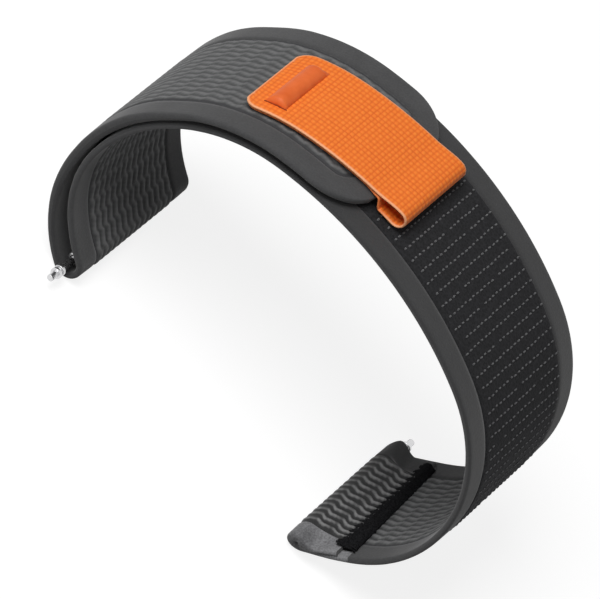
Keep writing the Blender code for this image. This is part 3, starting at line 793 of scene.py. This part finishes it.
tabTop = tabUnder + 2 * tab["ply"] + tab["plyGap"]
foldUnder = strip["panelThickness"] / 2 + tab["foldRest"] + tab["ply"] / 2
foldOver = foldUnder + tab["foldHeight"]
foldTurn = tab["foldHeight"] / 2
foldRun = tab["foldReach"] - foldTurn - tab["ply"] / 2
tabLeg = foldRun - tab["start"]
tabLength = 2 * tabLeg + math.pi * foldTurn


def tabSide(run):
    return tailDrift(run) + tab["side"] + math.tan(math.radians(tab["skew"])) * (run - tab["start"])


def tabRun(along):
    # The run of the band under a place on the tab
    if along <= tabLeg:
        return tab["start"] + along
    past = along - tabLeg
    if past < math.pi * foldTurn:
        return foldRun + foldTurn * math.sin(past / foldTurn)
    return foldRun - (past - math.pi * foldTurn)


def tabMiddle(along):
    # The lower ply from the left end out to the fold, round it, and the upper ply back
    run = tabRun(along)
    if along <= tabLeg:
        lower = tabUnder + tab["ply"] / 2
        down = smoothRise(run, tab["stepStart"], tab["stepRun"])
        return overBand(run, lower + (foldUnder - lower) * down)
    past = along - tabLeg
    if past < math.pi * foldTurn:
        return overBand(run, foldUnder + foldTurn * (1 - math.cos(past / foldTurn)))
    upper = tabTop - tab["ply"] / 2
    rise = smoothRise(-run, -foldRun, foldRun - tab["flex"])
    return overBand(run, foldOver + (upper - foldOver) * rise)


def weaveShape(along, side):
    # Plain weave: 1 on top of a small square crown, 0 between two, every other crown a bit lower
    row = along / tab["weft"]
    column = side / tab["warp"]
    crown = abs(math.cos(math.pi * row) * math.cos(math.pi * column)) ** tab["crownPower"]
    lower = (round(row) + round(column)) % 2
    return crown * (1 - tab["lowerCrown"] * lower)


def layWebbing(bm):
    # A flat blank bent into the doubled webbing, with round corners at its two ends
    half = tab["width"] / 2
    inner = half - tab["rimRun"]
    turns = [math.pi / 2 * i / tab["rimColumns"] for i in range(1, tab["rimColumns"] + 1)]
    face = [inner * (2 * i / tab["columns"] - 1) for i in range(tab["columns"] + 1)]
    rim = [inner + tab["rimRun"] * math.sin(turn) for turn in turns]
    face = [-place for place in reversed(rim)] + face + rim
    ring = [(place, -1) for place in face] + [(place, 1) for place in reversed(face[1:-1])]
    ring.append(ring[0])
    around = len(ring) - 1
    stations = math.ceil(tabLength / tab["stationRun"])
    reliefLayer = bm.verts.layers.float.new("relief")
    rimHighlightLayer = bm.verts.layers.float.new("rim")
    bmesh.ops.create_grid(bm, x_segments=stations, y_segments=around, size=1.0)
    lines = [station(tabMiddle, min(max(tabLength * row / stations, probe), tabLength - probe))
             for row in range(stations + 1)]
    for vertex in bm.verts:
        side, sign = ring[round((vertex.co.y + 1) / 2 * around)]
        row = round((vertex.co.x + 1) / 2 * stations)
        along = tabLength * row / stations
        fromEnd = min(along, tabLength - along)
        crown = weaveShape(along, side)
        past = max(abs(side) - inner, 0.0) / tab["rimRun"]
        height = tab["ply"] / 2 - tab["relief"] * (1 - crown)
        height *= math.sqrt(max(1 - past * past, 0.0))
        near = max(tab["rimRun"] - fromEnd, 0.0) / tab["rimRun"]
        height *= tab["endThin"] + (1 - tab["endThin"]) * math.sqrt(1 - near * near)
        corner = max(tab["corner"] - fromEnd, 0.0)
        halfHere = half - tab["corner"] + math.sqrt(tab["corner"] ** 2 - corner ** 2)
        fromEdge = min(half - abs(side), fromEnd)
        if corner > 0 and abs(side) > half - tab["corner"]:
            reach = math.hypot(corner, abs(side) * halfHere / half - (half - tab["corner"]))
            fromEdge = min(fromEdge, tab["corner"] - reach)
        # The paler edge is a painted highlight along the rim, kept faint on the lower ply in the upper
        # one's shade, until the two part before the fold
        rimHighlight = 1 - smoothRise(fromEdge, tab["highlightRun"] * tab["highlightFlat"], tab["highlightRun"])
        seen = smoothRise(along, tabLeg - tab["partRun"] / 2, tab["partRun"] / 2)
        vertex[rimHighlightLayer] = rimHighlight * (tab["underHighlight"] + (1 - tab["underHighlight"]) * seen)
        vertex[reliefLayer] = crown
        point, normal = lines[row]
        parted = smoothRise(along, tabLeg - tab["partRun"], tab["partRun"] / 2)
        inset = tab["underInset"] * (1 - parted)
        place = side * (halfHere - inset) / half + tabSide(tabRun(along))
        vertex.co = point + normal * (height * sign) + Vector((0, place, 0))
    smoothFaces(bm)
    bmesh.ops.remove_doubles(bm, verts=bm.verts, dist=weld)
    bmesh.ops.holes_fill(bm, edges=[edge for edge in bm.edges if edge.is_boundary], sides=0)
    turnOutward(bm)


tabMesh = bmesh.new()
layWebbing(tabMesh)
webbing = newObject("pull_tab_webbing", tabMesh, [orangeWebbing])
tabAhead = aheadOf(archPoint(tab["flex"])[1]) * tab["flexReach"]
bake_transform(webbing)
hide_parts("pull_tab_base", "pull_tab_loop")
print("pull tab", len(webbing.data.polygons), "faces")

# The moulded grip bar on the tab, and a dark plate in the slot that its front end comes out of, its colour
# painted shade
grip = {
    "length": 0.0090,
    "width": 0.0022,
    "height": 0.0009,
    "centre": -0.0170,
    "side": -0.00024,
    "lengthSteps": 40,
    "sideSteps": 20,
    "acrossPower": 2.2,           # these two make the half-round of its section
    "heightPower": 0.75,
    "softEnd": 0.0009,            # the back end runs down into the webbing
    "backLeft": 0.15,
    "frontEdge": 0.00025,
    "frontLeft": 0.2,
    "sunk": 0.00012,
    "slotWidth": 0.00010,
    "slotOver": 0.00010,
    "slotHeight": 0.00016,
    "slotSunk": 0.00001,
    "slotRound": 0.45,
    "slotInset": 0.1,
}


def layGrip(bm):
    # A flat blank raised into a half-round, then closed underneath
    bmesh.ops.create_grid(bm, x_segments=grip["sideSteps"], y_segments=grip["lengthSteps"], size=1.0)
    blank = list(bm.verts)
    for vertex in blank:
        across = vertex.co.x
        down = 1 - abs(across) ** grip["acrossPower"]
        run = grip["centre"] + across * grip["width"] / 2
        side = vertex.co.y * grip["length"] / 2
        back = smoothRise(grip["length"] / 2 - side, 0.0, grip["softEnd"])
        short = max(grip["frontEdge"] - (side + grip["length"] / 2), 0.0) / grip["frontEdge"]
        front = math.sqrt(max(1 - short ** 2, 0.0))
        lift = grip["height"] * down ** grip["heightPower"]
        lift *= grip["backLeft"] + (1 - grip["backLeft"]) * back
        lift *= grip["frontLeft"] + (1 - grip["frontLeft"]) * front
        place = side + grip["side"] + tabSide(run)
        vertex.co = overBand(run, tabTop + lift) + strapHome + Vector((0, place, 0))
    smoothFaces(bm)
    skirt = bmesh.ops.extrude_edge_only(bm, edges=[edge for edge in bm.edges if edge.is_boundary])["geom"]
    for item in skirt:
        if isinstance(item, bmesh.types.BMVert):
            item.co -= archPoint(grip["centre"])[1] * grip["sunk"]
    bmesh.ops.holes_fill(bm, edges=[edge for edge in bm.edges if edge.is_boundary], sides=0)
    turnOutward(bm)


gripMesh = bmesh.new()
layGrip(gripMesh)
gripBar = newObject("grip_bar", gripMesh, [coralRubber])
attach(gripBar, "tail_end")
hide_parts("tab_grip_bar")

# A thin dark plate where the grip's front end comes out of the webbing: painted shade of the slot
slotMesh = bmesh.new()
bmesh.ops.create_cube(slotMesh, size=1.0)
slotLength = grip["width"] + 2 * grip["slotOver"]
bmesh.ops.scale(slotMesh, verts=slotMesh.verts,
                vec=(slotLength, grip["slotWidth"], grip["slotHeight"]))
uprights = [edge for edge in slotMesh.edges if abs(edge.verts[0].co.z - edge.verts[1].co.z) > 0]
bmesh.ops.bevel(slotMesh, geom=uprights, offset=grip["slotWidth"] * grip["slotRound"], segments=4,
                profile=0.5, affect="EDGES", material=-1)
bmesh.ops.bisect_plane(slotMesh, geom=slotMesh.verts[:] + slotMesh.edges[:] + slotMesh.faces[:],
                       plane_co=(0, 0, 0), plane_no=(1, 0, 0))
slotSide = grip["side"] - grip["length"] / 2 - grip["slotWidth"] * grip["slotInset"]
for vertex in slotMesh.verts:
    run = grip["centre"] + vertex.co.x
    place = slotSide + vertex.co.y + tabSide(run)
    lift = tabTop - grip["slotSunk"] + vertex.co.z
    vertex.co = overBand(run, lift) + strapHome + Vector((0, place, 0))
gripSlotShade = newObject("grip_bar_slot_shade_plate", slotMesh, [slotShadow])
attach(gripSlotShade, "tail_end")
print("grip bar made")


def addStrand(bm, blank, place):
    # A copy of the blank thread, each point moved by place(share along, local point)
    before = len(bm.verts)
    bm.from_mesh(blank)
    bm.verts.ensure_lookup_table()
    for vertex in bm.verts[before:]:
        vertex.co = place(vertex.co.z + 0.5, vertex.co)


def strandBlank(name, sides, rings):
    # A thin rod one unit long, cut along its length, to be bent into a thread
    bm = bmesh.new()
    bmesh.ops.create_cone(bm, cap_ends=True, segments=sides, radius1=1.0, radius2=1.0, depth=1.0)
    rods = [edge for edge in bm.edges if abs(edge.verts[0].co.z - edge.verts[1].co.z) > 0.5]
    bmesh.ops.subdivide_edges(bm, edges=rods, cuts=rings, use_grid_fill=True)
    smoothFaces(bm)
    mesh = bpy.data.meshes.new(name)
    bm.to_mesh(mesh)
    bm.free()
    return mesh


# The sewn seam that holds the flap's end down on the band's inner face
seam = {
    "run": 0.0012,
    "width": 0.0190,
    "side": -0.0006,
    "flexGap": 0.0001,
    "drop": 0.00042,
    "slant": 0.0005,              # how much further down the back end starts than the front end
    "slantFrom": 0.4,
    "over": 0.0006,               # how far the threads run on over the flap's ribs
    "jag": 0.0004,
    "lateJag": 1.5,
    "rise": 0.0004,
    "sunk": 0.00012,
    "ridgeWidth": 0.985,          # the ridge's width and its edge's height, as shares
    "ridgeEdge": 0.35,
    "ridgeSunk": 0.00012,
    "ridgeCuts": 15,
    "lump": 0.00005,
    "lumpRun": 0.0004,
    "lumpSide": 0.0005,
    "threads": 150,
    "threadRadius": 0.00011,
    "threadLeast": 0.9,
    "threadSpread": 0.25,
    "threadFlat": 0.3,
    "lead": 0.00005,              # how far a thread starts before the seam, and how unevenly
    "uneven": 0.00012,
    "lean": 0.0006,
    "waver": 0.00006,
    "waverSide": 0.0003,
    "riseFrom": 0.85,
    "fuzz": 240,
    "fuzzRadius": 0.000018,
    "fuzzLength": 0.0006,
    "fuzzRoot": 0.0001,
    "fuzzDown": 0.00022,
    "fuzzCurl": 0.0001,
    "fuzzCurlUp": 0.00006,
    "fuzzEnd": 1.1,
}
seamEndRun = arch["rightLeg"] - arch["flap"]
seamStart = seamEndRun - seam["flexGap"] - seam["run"]
seamInner = -strip["panelThickness"] / 2 - arch["layGap"] / 2
seamOuter = -flapPitch - arch["flapThickness"] / 2 + seam["drop"]
flapTop = -flapPitch - arch["flapThickness"] / 2 + seam["sunk"]


def seamPoint(run, side, height):
    return overBand(run, height) + strapHome + Vector((0, side + seam["side"], 0))


def seamFrom(side):
    # The run at which the seam starts: it is sewn a little askew
    return seamStart + seam["slant"] * (seam["slantFrom"] + 2 * side / seam["width"])


def laySeam(bm):
    # A low ridge under the threads
    bmesh.ops.create_cube(bm, size=1.0)
    bmesh.ops.subdivide_edges(bm, edges=bm.edges, cuts=seam["ridgeCuts"], use_grid_fill=True)
    for vertex in bm.verts:
        side = seam["width"] * seam["ridgeWidth"] * vertex.co.y
        run = seamFrom(side) + (seamStart + seam["run"] - seamFrom(side)) * (vertex.co.x + 0.5)
        crown = (1 - (2 * vertex.co.x) ** 4) * (1 - (2 * vertex.co.y) ** 10)
        share = seam["ridgeEdge"] + (1 - seam["ridgeEdge"]) * max(crown, 0.0) ** 0.5
        depth = (seamOuter + seam["ridgeSunk"] - seamInner) * share
        lump = seam["lump"] * noise.noise(Vector((run / seam["lumpRun"], side / seam["lumpSide"], 2.0)))
        vertex.co = seamPoint(run, side, seamInner + depth * (0.5 - vertex.co.z) + lump)
    smoothFaces(bm)


def sewSeam(bm):
    # Close threads along the strap over the ridge, their ends uneven at the flap
    blank = strandBlank("thread_blank", sides=5, rings=7)
    for i in range(seam["threads"]):
        side = seam["width"] * (i / (seam["threads"] - 1) - 0.5)
        jitter = noise.noise(Vector((i * 0.73, 1.0, 4.0)))
        late = noise.noise(Vector((i * 0.41, 6.0, 8.0)))
        grooved = 0.5 + 0.5 * math.cos(2 * math.pi * side * strip["ribCount"] / strip["panelWidth"])
        first = seamFrom(side) - seam["lead"] - seam["uneven"] * abs(jitter)
        jag = seam["jag"] * (grooved + seam["lateJag"] * max(late, 0.0))
        long = seamStart + seam["run"] + seam["over"] + jag - first
        lean = seam["lean"] * jitter

        def place(share, local, side=side, jitter=jitter, first=first, long=long, lean=lean):
            run = first + long * share
            ridge = smoothRise(run, first, seam["rise"])
            onRibs = smoothRise(run, seamStart + seam["run"] - seam["rise"], seam["rise"])
            height = seamInner + (seamOuter - seamInner) * ridge + (flapTop - seamOuter) * onRibs
            height += seam["waver"] * jitter + seam["drop"] * max(share - seam["riseFrom"], 0.0)
            waver = noise.noise(Vector((share * 3, side / seam["waverSide"], 1.0)))
            drift = lean * (share - 0.5) + seam["waver"] * waver
            radius = seam["threadRadius"] * (seam["threadLeast"] + seam["threadSpread"] * jitter)
            height += local.x * radius
            run += local.x * radius * seam["threadFlat"]
            return seamPoint(run, side + drift + local.y * radius, height)

        addStrand(bm, blank, place)
    hair = strandBlank("hair_blank", sides=3, rings=3)
    for i in range(seam["fuzz"]):
        dx, dy, dz = noise.noise_vector(Vector((i * 1.31, 2.0, 7.0)))
        share = 0.5 + 0.9 * noise.noise(Vector((i * 0.57, 9.0, 3.0)))
        root = seamPoint(seamStart + seam["run"] * min(max(share, 0.0), seam["fuzzEnd"]),
                         seam["width"] * ((i * 0.618) % 1.0 - 0.5), seamOuter + seam["fuzzRoot"])
        reach = Vector((dx, dy, dz)) * seam["fuzzLength"]
        reach -= archPoint(seamStart)[1] * seam["fuzzDown"]

        def place(share, local, root=root, reach=reach, dx=dx):
            curl = Vector((0, math.sin(share * 3) * seam["fuzzCurl"] * dx,
                           math.sin(share * 4) * seam["fuzzCurlUp"]))
            radius = seam["fuzzRadius"] * (seam["fuzzEnd"] - share)
            return root + reach * share + curl + Vector((local.x, local.y, 0)) * radius

        addStrand(bm, hair, place)
    turnOutward(bm)


seamMesh = bmesh.new()
laySeam(seamMesh)
sewSeam(seamMesh)
flapSeam = newObject("sewn_flap_seam", seamMesh, [seamThread])
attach(flapSeam, "free_end")
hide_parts("flap_seam")
print("seam", len(flapSeam.data.polygons), "faces")

# The hook patch under the tail's end: a tape with rows of small bent hooks
hooks = {
    "width": 0.0160,
    "start": -0.0210,
    "end": -0.0050,
    "base": 0.00011,
    "tapeCuts": 23,
    "tapeCorner": 0.03,
    "pitch": 0.00085,
    "firstRow": 0.6,
    "radius": 0.00005,
    "bend": 0.00026,
    "root": 0.8,                  # where a hook starts in the tape's thickness
    "rootLeft": 0.2,
}


def layHooks(bm):
    # A flat tape under the tail, with each hook bent over to one side or the other
    under = -strip["panelThickness"] / 2 - arch["layGap"]
    bmesh.ops.create_cube(bm, size=1.0)
    long = [edge for edge in bm.edges if abs(edge.verts[0].co.x - edge.verts[1].co.x) > 0.5]
    bmesh.ops.subdivide_edges(bm, edges=long, cuts=hooks["tapeCuts"], use_grid_fill=True)
    corners = [edge for edge in bm.edges if abs(edge.verts[0].co.z - edge.verts[1].co.z) > 0.5
               and abs(edge.verts[0].co.x) > 0.45]
    bmesh.ops.bevel(bm, geom=corners, offset=hooks["tapeCorner"], segments=3, profile=0.5,
                    affect="EDGES", material=-1)

    def hang(run, side, height):
        point, normal = station(tailMiddle, run)
        return point + normal * (under + height) + Vector((0, side + tailDrift(run), 0))

    for vertex in bm.verts:
        run = hooks["start"] + (hooks["end"] - hooks["start"]) * (vertex.co.x + 0.5)
        vertex.co = hang(run, vertex.co.y * hooks["width"], (vertex.co.z - 0.5) * hooks["base"])
    blank = strandBlank("hook_blank", sides=4, rings=3)
    rowsOfHooks = bmesh.new()
    rows = int((hooks["end"] - hooks["start"]) / hooks["pitch"])
    columns = int(hooks["width"] / hooks["pitch"])
    tall = arch["hookThickness"] - hooks["base"] - hooks["radius"]
    for row in range(rows):
        for column in range(columns):
            run = hooks["start"] + hooks["pitch"] * (row + hooks["firstRow"])
            side = hooks["pitch"] * (column - (columns - 1) / 2)
            lean = 1 if (row + column) % 2 else -1

            def place(share, local, run=run, side=side, lean=lean):
                turn = math.pi / 2 * share
                bend = lean * hooks["bend"] * (1 - math.cos(turn))
                reach = (tall + hooks["base"] * hooks["rootLeft"]) * math.sin(turn)
                place = run + bend + local.x * hooks["radius"]
                return hang(place, side + local.y * hooks["radius"], -hooks["base"] * hooks["root"] - reach)

            addStrand(rowsOfHooks, blank, place)
    joinInto(bm, rowsOfHooks)
    turnOutward(bm)


hookMesh = bmesh.new()
layHooks(hookMesh)
hookPatch = newObject("hook_tape_patch", hookMesh, [hookTape])
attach(hookPatch, "tail_end")
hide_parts("hook_patch")
print("hook patch", len(hookPatch.data.polygons), "faces")

# The spring bars: a turned tube with a sprung plunger in each end
bars = {
    "length": 0.0236,
    "tubeLength": 0.0140,
    "tubeRadius": 0.00078,
    "boreRadius": 0.00064,
    "lipRadius": 0.00050,
    "lipRun": 0.0005,
    "headRadius": 0.00059,
    "headRun": 0.0008,
    "shaftRadius": 0.00042,
    "flangeRadius": 0.00068,
    "flangeRun": 0.00035,
    "grooveRadius": 0.00042,
    "grooveRun": 0.00035,
    "tipRadius": 0.00042,
    "tipRun": 0.00115,
    "edge": 0.00008,              # how much of each corner is taken off
    "steps": 56,
}


def spinBar(name, profile, home, loop):
    # Spins a half outline of (radius, place along Y) round the bar's axis
    bm = bmesh.new()
    points = [bm.verts.new((radius, along, 0)) for radius, along in profile]
    edges = [bm.edges.new(pair) for pair in zip(points, points[1:])]
    if loop:
        edges.append(bm.edges.new((points[-1], points[0])))
    bmesh.ops.spin(bm, geom=points + edges, axis=(0, 1, 0), cent=(0, 0, 0), dvec=(0, 0, 0),
                   angle=2 * math.pi, steps=bars["steps"], use_merge=True, use_duplicate=False)
    bmesh.ops.remove_doubles(bm, verts=bm.verts, dist=weld)
    turnOutward(bm)
    bmesh.ops.translate(bm, verts=bm.verts, vec=home)
    smoothFaces(bm)
    for edge in bm.edges:
        edge.smooth = edge.is_boundary or edge.calc_face_angle(0.0) < math.radians(30)
    return newObject(name, bm, [barSteel])


def tubeProfile():
    # The tube's wall, with a lip at each end that keeps the plunger's head in
    half = bars["tubeLength"] / 2
    edge = bars["edge"]
    bore = half - bars["lipRun"]
    outside = [(bars["tubeRadius"] - edge, half), (bars["tubeRadius"] - edge * 0.3, half - edge * 0.3),
               (bars["tubeRadius"], half - edge)]
    lip = [(bars["lipRadius"] + edge * 0.5, half), (bars["lipRadius"], half - edge * 0.5),
           (bars["lipRadius"], bore), (bars["boreRadius"], bore)]
    mirrored = [(radius, -along) for radius, along in reversed(outside)]
    return outside + mirrored + [(radius, -along) for radius, along in lip] + list(reversed(lip))


def plungerProfile(way):
    # From the tip inwards; way is 1 for the back end and -1 for the front end
    edge = bars["edge"]
    tip = bars["length"] / 2
    outer = tip - bars["tipRun"]
    groove = outer - bars["flangeRun"]
    inner = groove - bars["grooveRun"]
    shaft = inner - bars["flangeRun"]
    head = bars["tubeLength"] / 2 - bars["lipRun"] - arch["layGap"]
    tail = head - bars["headRun"]
    nose, flange, ring = bars["tipRadius"], bars["flangeRadius"], edge * 0.6
    outline = [(0.0, tip), (nose - edge * 1.6, tip), (nose - edge * 0.5, tip - edge * 0.5),
               (nose, tip - edge * 1.6), (nose, outer)]
    for upper, lower, neck, end in ((outer, groove, bars["grooveRadius"], inner),
                                    (inner, shaft, bars["shaftRadius"], head)):
        outline += [(flange - ring, upper), (flange, upper - ring), (flange, lower + ring),
                    (flange - ring, lower), (neck, lower), (neck, end)]
    outline += [(bars["headRadius"], head), (bars["headRadius"], tail), (0.0, tail)]
    return [(radius, way * along) for radius, along in outline]


for side in ("left", "right"):
    home = pivots[side + "_bar_spin"]
    tube = spinBar(side + "_spring_bar_tube", tubeProfile(), home, True)
    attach(tube, side + "_bar")
    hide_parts(side + "_bar_tube")
    for end, way in (("front", -1), ("back", 1)):
        plunger = spinBar(f"{side}_{end}_plunger", plungerProfile(way), home, False)
        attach(plunger, f"{side}_{end}_pin")
        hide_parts(f"{side}_bar_{end}_plunger")
    coil = frame["nodes"][side + "_bar_spring"]
    coil.data.materials.clear()
    coil.data.materials.append(springWire)
print("spring bars made")

# The camera, from the fit to the photograph: angles in degrees, lengths in metres
view = {
    "azimuth": 0.15,
    "elevation": 42.92,           # down from level
    "roll": 49.38,
    "distance": 0.8286,
    "target": (-0.000794, 0.0011, 0.014216),
    "lens": 457.0,
    "sensor": 36.0,
}


def placeCamera():
    azimuth, elevation, roll = (math.radians(view[key]) for key in ("azimuth", "elevation", "roll"))
    back = Vector((math.sin(azimuth) * math.cos(elevation), -math.cos(azimuth) * math.cos(elevation),
                   math.sin(elevation)))
    right = Vector((math.cos(azimuth), math.sin(azimuth), 0))
    up = back.cross(right)
    rolledRight = right * math.cos(roll) + up * math.sin(roll)
    rolledUp = up * math.cos(roll) - right * math.sin(roll)
    turn = Matrix((rolledRight, rolledUp, back)).transposed()
    data = bpy.data.cameras.new("photo_camera")
    data.lens = view["lens"]
    data.sensor_width = view["sensor"]
    data.sensor_fit = "HORIZONTAL"
    camera = bpy.data.objects.new("photo_camera", data)
    place = Vector(view["target"]) + back * view["distance"]
    camera.matrix_world = Matrix.Translation(place) @ turn.to_4x4()
    bpy.context.scene.collection.objects.link(camera)
    bpy.context.scene.camera = camera


placeCamera()

# Soft studio light: one large lamp from the upper left, a weak one from the front, a dim room
studio = {
    "keyPlace": (-0.24, -0.20, 0.50),
    "keySize": 0.35,
    "keyPower": 2.75,
    "fillPlace": (-0.35, -0.55, 0.20),
    "fillSize": 0.40,
    "fillPower": 0.4,
    "ambient": 0.14,
    "floorSize": 3.0,
    "floorGap": 0.0001,
    "floorColour": "#8c8c8c",
    "floorGlow": 0.84,
}


def addLamp(name, place, size, power):
    data = bpy.data.lights.new(name, "AREA")
    data.shape = "DISK"
    data.size = size
    data.energy = power
    lamp = bpy.data.objects.new(name, data)
    lamp.location = place
    aim = Vector(view["target"]) - Vector(place)
    lamp.rotation_euler = aim.to_track_quat("-Z", "Y").to_euler()
    bpy.context.scene.collection.objects.link(lamp)


def seenRays(tree):
    # 1 for rays that the eye meets: straight, in a reflection or through glass
    path = addNode(tree, "LightPath")
    first = addNode(tree, "Math", {0: path.outputs["Is Camera Ray"], 1: path.outputs["Is Glossy Ray"]},
                    operation="MAXIMUM")
    return addNode(tree, "Math", {0: first.outputs[0], 1: path.outputs["Is Transmission Ray"]},
                   operation="MAXIMUM").outputs[0]


def makeRoom():
    # The world and the floor look white to the eye and light the strap only dimly
    world = bpy.data.worlds.new("studio")
    world.use_nodes = True
    bpy.context.scene.world = world
    tree = world.node_tree
    strength = addNode(tree, "MapRange", {"Value": seenRays(tree)}, To_Min=studio["ambient"], To_Max=1.0)
    background = tree.nodes["Background"]
    background.inputs["Color"].default_value = (1, 1, 1, 1)
    tree.links.new(strength.outputs["Result"], background.inputs["Strength"])

    floorMesh = bmesh.new()
    bmesh.ops.create_grid(floorMesh, x_segments=1, y_segments=1, size=studio["floorSize"] / 2)
    bmesh.ops.translate(floorMesh, verts=floorMesh.verts, vec=(0, 0, footLevel - studio["floorGap"]))
    paper = bpy.data.materials.new("white_backdrop_paper")
    paper.use_nodes = True
    tree = paper.node_tree
    shader = tree.nodes["Principled BSDF"]
    shader.inputs["Base Color"].default_value = hexColour(studio["floorColour"])
    shader.inputs["Roughness"].default_value = 0.9
    shader.inputs["Specular IOR Level"].default_value = 0.0
    glow = addNode(tree, "Emission", Strength=studio["floorGlow"])
    seen = addNode(tree, "MixShader", {0: seenRays(tree)})
    both = addNode(tree, "AddShader", {0: shader.outputs[0], 1: seen.outputs[0]})
    tree.links.new(glow.outputs[0], seen.inputs[2])
    tree.links.new(both.outputs[0], tree.nodes["Material Output"].inputs["Surface"])
    floor = newObject("backdrop_floor", floorMesh, [paper])


makeRoom()
addLamp("key_lamp", studio["keyPlace"], studio["keySize"], studio["keyPower"])
addLamp("front_lamp", studio["fillPlace"], studio["fillSize"], studio["fillPower"])
bpy.context.scene.view_settings.view_transform = "Standard"
print("camera and light placed")
